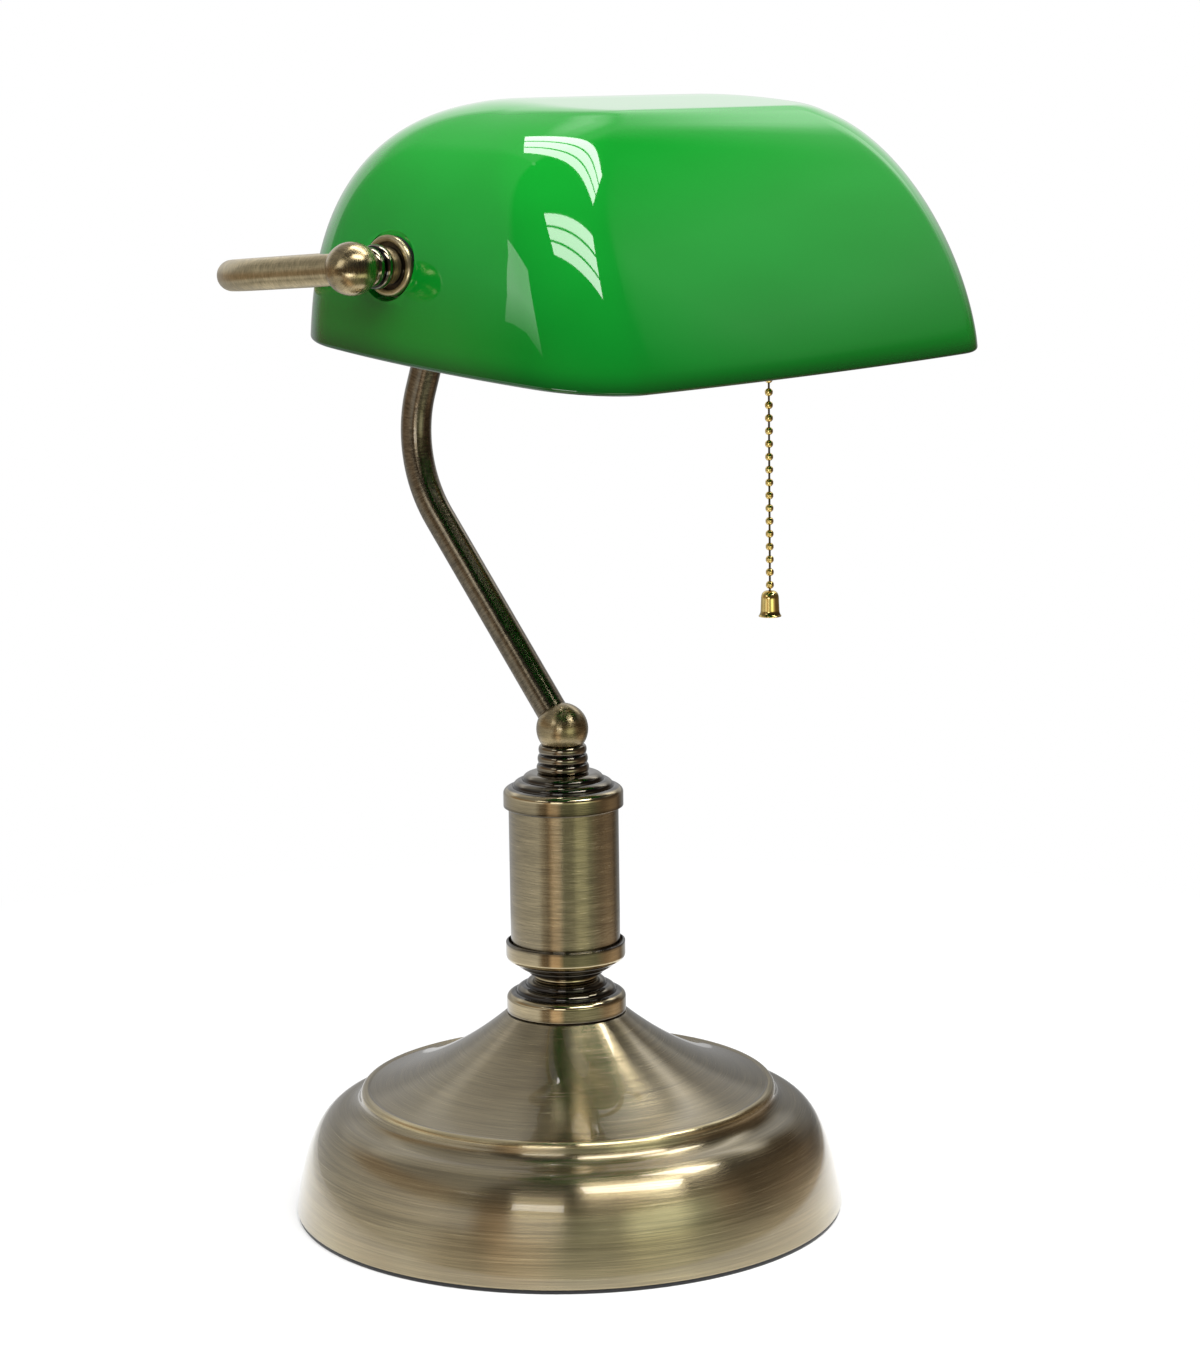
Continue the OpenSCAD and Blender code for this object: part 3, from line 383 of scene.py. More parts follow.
@dataclass
class Turning:
    """A piece turned about an axis from a closed outline of (radius, height) points.

    Corners are rounded by edge, and long edges are split by spacing. The last three sizes set the rubbing,
    painted highlight and painted shade stored on the vertices.
    """

    name: str
    outline: list[Point]
    placing: Matrix = field(default_factory=lambda: Matrix.Identity(4))
    edge: float = 0.3
    spacing: float = 1.0
    sides: int = 96
    shoulder_reach: float = 0.7
    shoulder: float = 0.9
    hollow: float = 0.7

    def build(self) -> bpy.types.Object:
        """Turns the outline into a closed mesh with its brushing, wear and map.

        Returns:
            The new object.
        """
        outline = densify(soften(self.outline, self.edge), self.spacing)
        wear_and_painted_light = wear_and_painted_light_along(outline, self.shoulder_reach, self.shoulder, self.hollow)
        lengths = [math.dist(p, outline[(i + 1) % len(outline)]) for i, p in enumerate(outline)]
        along = np.concatenate([[0.0], np.cumsum(lengths)]) * MM
        angles = [2 * math.pi * j / self.sides for j in range(self.sides)]
        points: list[Place] = []
        grain: list[tuple[float, float, float]] = []
        values: list[float] = []
        rows: list[list[int]] = []
        for i, (r, h) in enumerate(outline):
            ring = angles if r > 0 else angles[:1]
            first = len(points)
            for a in ring:
                points.append((r * MM * math.cos(a), r * MM * math.sin(a), h * MM))
                grain.append((along[i], math.cos(a), math.sin(a)))
                values.append(wear_and_painted_light[i])
            rows.append([first + (j if r > 0 else 0) for j in range(self.sides)])
        faces, maps = self._faces(rows, along)
        placed = np.array(points) @ np.array(self.placing.to_3x3()).T + np.array(self.placing.translation)
        return brushed_object(self.name, placed, faces, maps, np.array(grain), np.array(values))

    def _faces(self, rows: list[list[int]], along: np.ndarray) -> tuple[list[list[int]], list[Point]]:
        """Faces between the outline's rings.

        Args:
            rows: Vertex numbers of each ring.
            along: Length along the outline at each ring, with the whole length last.

        Returns:
            The faces, and the map's place for each of their corners.
        """
        faces: list[list[int]] = []
        maps: list[Point] = []
        for i, low in enumerate(rows):
            high = rows[(i + 1) % len(rows)]
            if low[0] == low[1] and high[0] == high[1]:
                continue
            for j in range(self.sides):
                k = (j + 1) % self.sides
                corners = [(low[j], i, j), (low[k], i, j + 1), (high[k], i + 1, j + 1), (high[j], i + 1, j)]
                if low[0] == low[1]:
                    corners.pop(1)
                elif high[0] == high[1]:
                    corners.pop(3)
                faces.append([c[0] for c in corners])
                maps.extend((along[c[1]], c[2] / self.sides) for c in corners)
        return faces, maps


@dataclass
class BentTube:
    """A hollow tube bent in one plane, along a path in metres."""

    name: str
    path: list[Vector]
    across: Vector
    radius: float
    bore: float
    sides: int = 40

    def build(self) -> bpy.types.Object:
        """Sweeps the tube's wall along its path.

        Returns:
            The new object.
        """
        count = len(self.path)
        lengths = [0.0]
        for a, b in zip(self.path, self.path[1:]):
            lengths.append(lengths[-1] + (b - a).length)
        points, grain = [], []
        for radius in (self.radius, self.bore):
            for i, here in enumerate(self.path):
                ahead = (self.path[min(i + 1, count - 1)] - self.path[max(i - 1, 0)]).normalized()
                beside = ahead.cross(self.across).normalized()
                for j in range(self.sides):
                    a = 2 * math.pi * j / self.sides
                    points.append(here + (self.across * math.cos(a) + beside * math.sin(a)) * radius * MM)
                    grain.append((lengths[i], math.cos(a), math.sin(a)))
        faces, maps = self._faces(count, lengths)
        placed = np.array([tuple(p) for p in points])
        return brushed_object(self.name, placed, faces, maps, np.array(grain), np.zeros(len(points)))

    def _faces(self, count: int, lengths: Sequence[float]) -> tuple[list[list[int]], list[Point]]:
        """Faces of the outer wall, the bore and the two ends.

        Args:
            count: Count of rings along the path.
            lengths: Length along the path at each ring.

        Returns:
            The faces, and the map's place for each of their corners.
        """
        n = self.sides
        bore = count * n
        faces: list[list[int]] = []
        maps: list[Point] = []

        def add(corners: Sequence[tuple[int, int, int]]) -> None:
            """Adds one face whose corners are (first vertex of a wall, ring, side)."""
            faces.append([w + i * n + j % n for w, i, j in corners])
            maps.extend((lengths[i], j / n) for _, i, j in corners)

        last = count - 1
        for j in range(n):
            for i in range(last):
                add([(0, i, j), (0, i, j + 1), (0, i + 1, j + 1), (0, i + 1, j)])
                add([(bore, i, j), (bore, i + 1, j), (bore, i + 1, j + 1), (bore, i, j + 1)])
            add([(0, 0, j), (bore, 0, j), (bore, 0, j + 1), (0, 0, j + 1)])
            add([(0, last, j), (0, last, j + 1), (bore, last, j + 1), (bore, last, j)])
        return faces, maps


def rounded_path(corners: Sequence[Vector], radii: Sequence[float], step: float) -> list[Vector]:
    """A path through corners, each rounded by an arc.

    Args:
        corners: First point, corners and last point, in metres.
        radii: Radius of each inner corner, in millimetres.
        step: Longest stretch between points, in millimetres.

    Returns:
        Points along the path.
    """
    fewest = 8
    marks: list[Vector] = [corners[0]]
    for before, at, after, radius in zip(corners, corners[1:], corners[2:], radii):
        arrive, leave = (at - before).normalized(), (after - at).normalized()
        turn = arrive.angle(leave)
        start = at - arrive * radius * MM * math.tan(turn / 2)
        inward = (leave - arrive * arrive.dot(leave)).normalized()
        parts = max(fewest, math.ceil(turn * radius / step))
        for i in range(parts + 1):
            a = turn * i / parts
            marks.append(start + (inward * (1 - math.cos(a)) + arrive * math.sin(a)) * radius * MM)
    marks.append(corners[-1])
    path: list[Vector] = []
    for a, b in zip(marks, marks[1:]):
        parts = max(1, math.ceil((b - a).length / (step * MM)))
        path.extend(a.lerp(b, i / parts) for i in range(parts))
    path.append(marks[-1])
    return path


# Finishes


class NodeSheet:
    """The node tree of one material, with its main shader."""

    def __init__(self, name: str) -> None:
        """Makes the material and its shader.

        Args:
            name: Name of the material.
        """
        self.material = bpy.data.materials.new(name)
        self.material.use_nodes = True
        self.tree = self.material.node_tree
        self.tree.nodes.clear()
        self.shader = self.add("ShaderNodeBsdfPrincipled")
        output = self.add("ShaderNodeOutputMaterial")
        self.link(self.shader.outputs["BSDF"], output.inputs["Surface"])

    def add(self, kind: str, **settings: object) -> bpy.types.Node:
        """Adds a node.

        Args:
            kind: Blender's name of the node's type.
            settings: Properties to set on it.

        Returns:
            The node.
        """
        node = self.tree.nodes.new(kind)
        for key, value in settings.items():
            setattr(node, key, value)
        return node

    def link(self, start: bpy.types.NodeSocket, end: bpy.types.NodeSocket) -> None:
        """Joins an output to an input."""
        self.tree.links.new(start, end)

    def set(self, **values: object) -> None:
        """Sets the shader's own sockets, with underscores for the spaces in their names."""
        for key, value in values.items():
            self.shader.inputs[key.replace("_", " ")].default_value = value

    def attribute(self, name: str, output: str = "Fac") -> bpy.types.NodeSocket:
        """The values stored on a piece's vertices, by name."""
        return self.add("ShaderNodeAttribute", attribute_name=name).outputs[output]

    def place(self) -> bpy.types.NodeSocket:
        """The point on the piece, in its own frame."""
        return self.add("ShaderNodeTexCoord").outputs["Object"]

    def stretch(self, vector: bpy.types.NodeSocket, scale: Sequence[float]) -> bpy.types.NodeSocket:
        """Scales a vector, one number for each axis."""
        node = self.add("ShaderNodeMapping")
        node.inputs["Scale"].default_value = tuple(scale)
        self.link(vector, node.inputs["Vector"])
        return node.outputs["Vector"]

    def noise(
        self, vector: bpy.types.NodeSocket, scale: float, detail: float, rough: float = 0.5,
    ) -> bpy.types.NodeSocket:
        """A cloudy pattern from 0 to 1.

        Args:
            vector: Where on the piece.
            scale: Count of clouds in a unit.
            detail: Count of finer layers.
            rough: Share that each finer layer adds.

        Returns:
            The pattern's value.
        """
        node = self.add("ShaderNodeTexNoise")
        self.link(vector, node.inputs["Vector"])
        node.inputs["Scale"].default_value = scale
        node.inputs["Detail"].default_value = detail
        node.inputs["Roughness"].default_value = rough
        return node.outputs["Fac"]

    def fit(self, value: bpy.types.NodeSocket, source: Point, target: Point) -> bpy.types.NodeSocket:
        """Maps a value from one span to another, held at its ends."""
        node = self.add("ShaderNodeMapRange")
        self.link(value, node.inputs["Value"])
        keys = ("From Min", "From Max", "To Min", "To Max")
        for key, number in zip(keys, (*source, *target)):
            node.inputs[key].default_value = number
        return node.outputs["Result"]

    def sums(
        self, kind: str, first: bpy.types.NodeSocket, second: bpy.types.NodeSocket,
    ) -> bpy.types.NodeSocket:
        """One step of arithmetic on two values, such as ADD or MULTIPLY."""
        node = self.add("ShaderNodeMath", operation=kind)
        self.link(first, node.inputs[0])
        self.link(second, node.inputs[1])
        return node.outputs["Value"]

    def ramp(
        self, value: bpy.types.NodeSocket, stops: Sequence[tuple[float, Colour]],
    ) -> bpy.types.NodeSocket:
        """Colours along a value.

        Args:
            value: The value, from 0 to 1.
            stops: Places along it, and the colour at each.

        Returns:
            The colour.
        """
        node = self.add("ShaderNodeValToRGB")
        elements = node.color_ramp.elements
        while len(elements) < len(stops):
            elements.new(0.5)
        for element, (place, colour) in zip(elements, stops):
            element.position = place
            element.color = (*colour, 1.0)
        self.link(value, node.inputs["Fac"])
        return node.outputs["Color"]

    def shade(self, colour: bpy.types.NodeSocket, value: bpy.types.NodeSocket) -> bpy.types.NodeSocket:
        """Makes a colour darker or lighter by a value that varies over the surface."""
        node = self.add("ShaderNodeMix", data_type="RGBA", blend_type="MULTIPLY")
        node.inputs[0].default_value = 1.0
        self.link(colour, node.inputs[MIX_FIRST])
        self.link(value, node.inputs[MIX_SECOND])
        return node.outputs[MIX_RESULT]

    def mix(
        self, share: bpy.types.NodeSocket, first: bpy.types.NodeSocket | Colour,
        second: bpy.types.NodeSocket | Colour,
    ) -> bpy.types.NodeSocket:
        """Goes from a first colour to a second by a share that varies over the surface."""
        node = self.add("ShaderNodeMix", data_type="RGBA")
        self.link(share, node.inputs[0])
        for number, colour in ((MIX_FIRST, first), (MIX_SECOND, second)):
            socket = node.inputs[number]
            if isinstance(colour, tuple):
                socket.default_value = (*colour, 1.0)
            else:
                self.link(colour, socket)
        return node.outputs[MIX_RESULT]

    def bump(self, height: bpy.types.NodeSocket, depth: float, strength: float) -> None:
        """Raises the surface by a pattern.

        Args:
            height: The pattern, from 0 to 1.
            depth: Height of the pattern, in millimetres.
            strength: Share of it that shows.
        """
        node = self.add("ShaderNodeBump")
        node.inputs["Distance"].default_value = depth * MM
        node.inputs["Strength"].default_value = strength
        self.link(height, node.inputs["Height"])
        self.link(node.outputs["Normal"], self.shader.inputs["Normal"])

    def colour(self, source: bpy.types.NodeSocket) -> None:
        """Gives the shader its colour."""
        self.link(source, self.shader.inputs["Base Color"])

    def roughness(self, source: bpy.types.NodeSocket) -> None:
        """Gives the shader its roughness."""
        self.link(source, self.shader.inputs["Roughness"])


@dataclass(frozen=True)
class Finish:
    """What every finish shares: a name, and a material that is made once."""

    name: str

    def material(self) -> bpy.types.Material:
        """The finish's material, made when it is first asked for."""
        return bpy.data.materials.get(self.name) or self.make()

    def make(self) -> bpy.types.Material:
        """Makes the material."""
        raise NotImplementedError


@dataclass(frozen=True)
class BrushedBrass(Finish):
    """Brushed brass under clear lacquer, with painted shade in its grooves and rubbing with a painted
    highlight on its ridges.

    The lines run round a turned piece, line_pitch apart, and pull is how much they stretch a highlight.
    """

    groove: Colour
    body: Colour
    ridge: Colour
    tarnish: Colour
    line_pitch: float = 0.28
    lines_round: float = 2.6
    smooth: float = 0.19
    coarse: float = 0.29
    lacquer: float = 1.0
    pull: float = 0.94
    contrast: float = 0.36
    metal: float = 1.0
    band_share: float = 0.12
    line_depth: float = 0.02

    def make(self) -> bpy.types.Material:
        """Makes the material.

        Returns:
            The brushed and lacquered brass.
        """
        sheet = NodeSheet(self.name)
        grain = sheet.attribute(GRAIN, "Vector")
        across, around = 1 / (self.line_pitch * MM), self.lines_round
        lines = sheet.noise(sheet.stretch(grain, (across, around, around)), scale=1.0, detail=3.0, rough=0.6)
        broad = sheet.stretch(grain, (self.band_share * across, around / 2, around / 2))
        bands = sheet.noise(broad, scale=1.0, detail=2.0)
        clouds = sheet.noise(sheet.place(), scale=26.0, detail=3.0)
        # Painted shade in the grooves, rubbing and a painted highlight on the ridges
        height = sheet.fit(sheet.attribute(WEAR_AND_PAINTED_LIGHT), (-1.0, 1.0), (0.0, 1.0))
        rub_and_shade_height = sheet.sums("ADD", height, sheet.fit(lines, (0.3, 0.7), (-0.05, 0.05)))
        tone = sheet.ramp(rub_and_shade_height, [
            (0.0, self.groove), (0.12, self.groove), (0.34, self.body), (0.80, self.body), (0.96, self.ridge),
        ])
        aged = sheet.mix(sheet.fit(clouds, (0.45, 0.72), (0.0, 0.55)), tone, self.tarnish)
        streaks = sheet.fit(lines, (0.25, 0.75), (1 - self.contrast, 1 + self.contrast / 2))
        streaked = sheet.shade(aged, streaks)
        sheet.colour(sheet.shade(streaked, sheet.fit(bands, (0.3, 0.7), (0.88, 1.08))))
        sheet.roughness(sheet.fit(lines, (0.2, 0.8), (self.smooth, self.coarse)))
        sheet.bump(lines, self.line_depth, strength=0.25)
        sheet.set(Metallic=self.metal, Anisotropic=self.pull)
        sheet.set(Coat_Weight=self.lacquer, Coat_Roughness=0.02, Coat_IOR=1.5)
        tangent = sheet.add("ShaderNodeTangent", direction_type="UV_MAP", uv_map=TURNING_MAP)
        sheet.link(tangent.outputs["Tangent"], sheet.shader.inputs["Tangent"])
        return sheet.material


@dataclass(frozen=True)
class PolishedMetal(Finish):
    """Plain metal with a fine cloudy tarnish, and painted shade darkening its grooves."""

    bright: Colour
    dull: Colour
    smooth: float
    coarse: float

    def make(self) -> bpy.types.Material:
        """Makes the material.

        Returns:
            The polished metal.
        """
        sheet = NodeSheet(self.name)
        clouds = sheet.noise(sheet.place(), scale=240.0, detail=4.0)
        specks = sheet.noise(sheet.place(), scale=1400.0, detail=2.0)
        tone = sheet.mix(sheet.fit(clouds, (0.35, 0.7), (0.0, 1.0)), self.bright, self.dull)
        # Painted shade darkens the grooves, such as the chain's links between its beads
        sheet.colour(sheet.shade(tone, sheet.fit(sheet.attribute(WEAR_AND_PAINTED_LIGHT), (-0.7, -0.1), (0.08, 1.0))))
        sheet.roughness(sheet.fit(specks, (0.3, 0.7), (self.smooth, self.coarse)))
        sheet.bump(specks, depth=0.01, strength=0.15)
        sheet.set(Metallic=1.0)
        return sheet.material


@dataclass(frozen=True)
class CasedGlass(Finish):
    """The coloured outer layer of the shade, over white glass, with painted shade deepening it towards its
    rim.
    """

    light: Colour
    deep: Colour
    # Colour of the painted shade at the rim
    edge: Colour

    def make(self) -> bpy.types.Material:
        """Makes the material.

        Returns:
            The coloured glass.
        """
        sheet = NodeSheet(self.name)
        flow = sheet.noise(sheet.stretch(sheet.place(), (1.0, 2.2, 3.0)), scale=9.0, detail=2.0)
        tone = sheet.mix(sheet.fit(flow, (0.3, 0.7), (0.0, 1.0)), self.light, self.deep)
        # Painted shade towards the rim, by the value stored on the vertices
        sheet.colour(sheet.mix(sheet.attribute(RIM_SHADE), tone, self.edge))
        ripple = sheet.noise(sheet.place(), scale=22.0, detail=1.0)
        sheet.roughness(sheet.fit(ripple, (0.3, 0.7), (0.02, 0.05)))
        sheet.bump(ripple, depth=0.12, strength=0.12)
        sheet.set(IOR=1.52, Coat_Weight=0.3, Coat_Roughness=0.02, Coat_IOR=1.52)
        return sheet.material


@dataclass(frozen=True)
class Opal(Finish):
    """White glass with a faint cloud in it."""

    light: Colour
    shadow: Colour
    smooth: float
    coarse: float

    def make(self) -> bpy.types.Material:
        """Makes the material.

        Returns:
            The white glass.
        """
        sheet = NodeSheet(self.name)
        clouds = sheet.noise(sheet.place(), scale=40.0, detail=3.0)
        sheet.colour(sheet.mix(sheet.fit(clouds, (0.3, 0.7), (0.0, 1.0)), self.light, self.shadow))
        sheet.roughness(sheet.fit(clouds, (0.3, 0.7), (self.smooth, self.coarse)))
        sheet.set(IOR=1.5)
        return sheet.material


@dataclass(frozen=True)
class Fibrous(Finish):
    """Felt, fibre, rubber and other dull stuffs, with a grain of a given size."""

    light: Colour
    dark: Colour
    grain: float
    smooth: float
    coarse: float
    depth: float
    nap: float = 0.0

    def make(self) -> bpy.types.Material:
        """Makes the material.

        Returns:
            The dull stuff.
        """
        sheet = NodeSheet(self.name)
        fibres = sheet.noise(sheet.place(), scale=1 / (self.grain * MM), detail=4.0, rough=0.6)
        sheet.colour(sheet.mix(sheet.fit(fibres, (0.3, 0.7), (0.0, 1.0)), self.dark, self.light))
        sheet.roughness(sheet.fit(fibres, (0.3, 0.7), (self.smooth, self.coarse)))
        sheet.bump(fibres, self.depth, strength=0.5)
        sheet.set(Sheen_Weight=self.nap, Sheen_Roughness=0.5)
        return sheet.material


AGED_BRASS = BrushedBrass(
    "aged_brass_brushed",
    groove=(0.045, 0.034, 0.020), body=(0.42, 0.35, 0.21),
    ridge=(0.82, 0.68, 0.38), tarnish=(0.33, 0.255, 0.14),
)
# A lighter, more polished copy of the brass for the fittings' skirts and the waist ring; the extra brightness
# paints their bright reflections
DARK_BRASS = BrushedBrass(
    "dark_brass_polished",
    groove=(0.016, 0.012, 0.008), body=(0.56, 0.46, 0.27),
    ridge=(0.80, 0.66, 0.37), tarnish=(0.33, 0.26, 0.14),
    smooth=0.10, coarse=0.17, pull=0.5, contrast=0.20,
)
# A darker copy of the fittings' brass for their steps, painting their shade and dark reflections
SHADED_STEP_BRASS = BrushedBrass(
    "shaded_step_brass_polished",
    groove=(0.010, 0.008, 0.006), body=(0.19, 0.16, 0.105),
    ridge=(0.56, 0.46, 0.27), tarnish=(0.12, 0.095, 0.055),
    smooth=0.08, coarse=0.14, pull=0.5, contrast=0.20,
)
BALL_BRASS = BrushedBrass(
    "ball_brass_brushed",
    groove=(0.045, 0.034, 0.020), body=(0.44, 0.35, 0.19),
    ridge=(0.70, 0.59, 0.35), tarnish=(0.27, 0.195, 0.095),
    smooth=0.21, coarse=0.32, lacquer=0.4, pull=0.75, contrast=0.44,
)
# A lighter copy of the brass with a matte share, for the yoke, its hub and the flanges; the extra brightness
# is a painted highlight
SATIN_BRASS = BrushedBrass(
    "satin_brass_brushed",
    groove=(0.045, 0.034, 0.020), body=(0.54, 0.445, 0.26),
    ridge=(0.70, 0.59, 0.35), tarnish=(0.36, 0.28, 0.15),
    smooth=0.27, coarse=0.38, lacquer=0.2, pull=0.7, contrast=0.44, line_pitch=0.45, metal=0.94,
)
# A darker copy of the brass for the arm, painting its shade under the glass shade and its dark reflections
SHADED_ARM_BRASS = BrushedBrass(
    "shaded_arm_brass_brushed",
    groove=(0.020, 0.015, 0.010), body=(0.23, 0.19, 0.125),
    ridge=(0.50, 0.42, 0.26), tarnish=(0.15, 0.115, 0.07),
    smooth=0.16, coarse=0.27, lacquer=0.4, pull=0.8, contrast=0.60, line_pitch=0.50,
)
# A darker copy of the brass for the necks' ribs, painting their shade and dark reflections
SHADED_RIB_BRASS = BrushedBrass(
    "shaded_rib_brass_polished",
    groove=(0.010, 0.008, 0.006), body=(0.25, 0.205, 0.13),
    ridge=(0.62, 0.52, 0.30), tarnish=(0.16, 0.125, 0.075),
    smooth=0.08, coarse=0.14, pull=0.3, contrast=0.20,
)
BRIGHT_BRASS = PolishedMetal(
    "bright_brass_polished", (0.94, 0.73, 0.28), (0.80, 0.57, 0.18), smooth=0.06, coarse=0.14,
)
HOLDER_BRASS = PolishedMetal(
    "holder_brass_stamped", (0.78, 0.60, 0.28), (0.58, 0.42, 0.18), smooth=0.20, coarse=0.34,
)
STEEL = PolishedMetal(
    "steel_plated", (0.60, 0.61, 0.62), (0.45, 0.45, 0.46), smooth=0.24, coarse=0.40,
)
BULB_METAL = PolishedMetal(
    "bulb_cap_nickel", (0.72, 0.71, 0.68), (0.56, 0.55, 0.52), smooth=0.18, coarse=0.32,
)
IRON = PolishedMetal(
    "cast_iron_rough", (0.20, 0.20, 0.21), (0.12, 0.12, 0.12), smooth=0.55, coarse=0.75,
)
GREEN_GLASS = CasedGlass(
    "green_cased_glass", light=(0.005, 0.297, 0.024), deep=(0.003, 0.258, 0.017), edge=(0.001, 0.085, 0.008),
)
WHITE_LINING = Opal(
    "white_glass_lining", (0.84, 0.85, 0.80), (0.78, 0.80, 0.75), smooth=0.12, coarse=0.20,
)
BULB_GLASS = Opal(
    "opal_bulb_glass", (0.88, 0.87, 0.83), (0.84, 0.82, 0.77), smooth=0.22, coarse=0.34,
)
FELT = Fibrous(
    "black_felt", (0.030, 0.030, 0.032), (0.010, 0.010, 0.011),
    grain=0.35, smooth=0.85, coarse=1.0, depth=0.15, nap=0.4,
)
RUBBER = Fibrous(
    "black_rubber", (0.035, 0.035, 0.036), (0.018, 0.018, 0.019),
    grain=0.6, smooth=0.5, coarse=0.7, depth=0.03,
)
PLASTIC = Fibrous(
    "black_switch_plastic", (0.045, 0.044, 0.043), (0.028, 0.027, 0.027),
    grain=0.4, smooth=0.35, coarse=0.5, depth=0.02,
)
FIBRE = Fibrous(
    "brown_fibre_board", (0.33, 0.22, 0.12), (0.21, 0.13, 0.065),
    grain=0.5, smooth=0.7, coarse=0.9, depth=0.05,
)
JACKET = Fibrous(
    "lead_jacket", (0.060, 0.050, 0.040), (0.030, 0.025, 0.020),
    grain=0.5, smooth=0.5, coarse=0.7, depth=0.03,
)


# The lamp


@dataclass(frozen=True)
class NodeBox:
    """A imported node's box at rest, in metres."""

    low: Vector
    high: Vector

    @classmethod
    def of(cls, node: str) -> "NodeBox":
        """The box of the node with that name."""
        return cls(*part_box(node))

    @property
    def centre(self) -> Vector:
        """The middle of the box."""
        return (self.low + self.high) / 2

    @property
    def size(self) -> Vector:
        """The box's three sides, in millimetres."""
        return (self.high - self.low) / MM


class Assembly:
    """What every sub-assembly shares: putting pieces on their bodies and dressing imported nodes."""

    def put(
        self, made: bpy.types.Object, body: Body, slot: Slot, finishes: Sequence[Finish], *nodes: str,
    ) -> None:
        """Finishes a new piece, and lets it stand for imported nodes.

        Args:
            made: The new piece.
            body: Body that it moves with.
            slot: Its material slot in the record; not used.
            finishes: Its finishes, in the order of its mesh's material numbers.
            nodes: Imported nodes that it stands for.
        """
        for finish in finishes:
            made.data.materials.append(finish.material())
        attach(made, body.value)
        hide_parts(*nodes)
        log.info("%s rides on %s and stands for %s", made.name, body.value, ", ".join(nodes))

    def dress(self, finish: Finish, *nodes: str) -> None:
        """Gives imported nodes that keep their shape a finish.

        Args:
            finish: The finish.
            nodes: The nodes' names.
        """
        for node in nodes:
            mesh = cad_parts[node].data
            mesh.materials.clear()
            mesh.materials.append(finish.material())
            log.info("%s is dressed in %s", node, finish.name)


@dataclass
class Base(Assembly):
    """The weighted base: spun shell, felt pad, weight and cord bushing.

    Points of the shell's outline are how far they are drawn in from the foot, and their height.
    """

    lip: float = 0.4
    dome_pull: Point = (2.6, 17.0)
    dome_crown: Point = (6.5, 31.6)
    dome_top: Point = (15.6, 33.9)
    cove: Point = (21.3, 34.9)
    riser: Point = (21.8, 38.3)
    roll: Point = (22.2, 40.7)
    crest: Point = (24.0, 40.7)
    crest_drop: float = 0.2
    crest_width: float = 0.9
    hollow_radius: float = 40.5
    hollow_height: float = 46.6
    seat_radius: float = 19.5
    bore: float = 5.05
    wall: float = 1.4
    cone_walls: float = 1.4
    inlet: float = 5.05

    def build(self) -> None:
        """Makes the shell and the felt, and dresses what is inside."""
        self._shell()
        self._felt()
        self.dress(IRON, "base_weight")
        self.dress(RUBBER, "cord_bushing")

    def _shell(self) -> None:
        """Spins the shell from its outline outside and its hollow inside, and drills the inlet."""
        box = NodeBox.of("base_shell")
        foot, seat = box.low.z / MM, box.high.z / MM
        radius, wall = box.size.x / 2, self.wall
        drawn = (self.dome_pull, self.dome_crown, self.dome_top, self.cove, self.riser, self.roll, self.crest)
        pull, crown, top, cove, riser, roll, crest = ((radius - draw, h) for draw, h in drawn)
        inner = (crest[0] - self.crest_width, crest[1] - self.crest_drop)
        drop = self.cone_walls * wall
        dome = curve([(radius - self.lip, foot + self.lip), pull, crown, top], steps=34)
        step = curve([top, cove, riser], steps=16) + curve([riser, roll, crest], steps=12)[1:]
        bead = curve([crest, (crest[0] - self.crest_width / 2, crest[1]), inner], steps=6)
        cone = curve([inner, (self.hollow_radius, self.hollow_height), (self.seat_radius, seat)], steps=28)
        outline = [(radius - 2 * self.lip, foot)] + dome + step[1:] + bead[1:] + cone[1:]
        outline += [(self.bore, seat), (self.bore, seat - wall), (self.seat_radius - wall, seat - wall)]
        # The hollow follows the outside, with fewer points
        outline += [(r, h - drop) for r, h in reversed(cone[2:-2:2])]
        outline += [(r - wall, h - wall) for r, h in reversed(dome[3:-4:3])]
        outline += [(radius - 2 * wall, foot)]
        shell = Turning(
            "base_shell_spun", outline, edge=0.4, spacing=1.4, sides=192, shoulder_reach=0.6, shoulder=2.2,
        ).build()
        self._drill(shell, radius)
        self.put(shell, Body.BASE, Slot.AGED_BRASS, [AGED_BRASS], "base_shell")

    def _drill(self, shell: bpy.types.Object, radius: float) -> None:
        """Drills the cord's inlet through the back of the shell.

        Args:
            shell: The spun shell.
            radius: Its radius at the foot.
        """
        placing = stand(Vector((0, 0, NodeBox.of("cord_bushing").centre.z)), BACK)
        outline = rod(self.inlet, radius / 2, 2 * radius)
        drill = Turning("inlet_drill", outline, placing, edge=0.0, spacing=radius, sides=48)
        combine(shell, drill.build(), "DIFFERENCE")
        shell.data.set_sharp_from_angle(angle=SHARP)

    def _felt(self) -> None:
        """Cuts the felt pad, with a soft edge."""
        box = NodeBox.of("felt_pad")
        outline = rod(box.size.x / 2, 0, box.size.z)
        felt = Turning("felt_pad_cut", outline, upright(box.low.z), edge=0.35, spacing=4.0, sides=128)
        self.put(felt.build(), Body.BASE, Slot.FELT, [FELT], "felt_pad")


@dataclass(frozen=True)
class Ribs:
    """A stack of round ribs, each a little narrower than the one before."""

    count: int
    depth: float
    taper: float
    half_turn: float = 75.0
    steps: int = 10

    def outline(self, radius: float, height: float) -> list[Point]:
        """Outline of the stack.

        Args:
            radius: Radius of the widest rib.
            height: Height of the stack.

        Returns:
            The outline's points, from low to high.
        """
        half = height / self.count / 2
        points = []
        for i in range(self.count):
            for j in range(self.steps + 1):
                a = math.radians(self.half_turn * (2 * j / self.steps - 1))
                out = radius - i * self.taper - self.depth * (1 - math.cos(a))
                points.append((out, half * (2 * i + 1 + math.sin(a))))
        return points


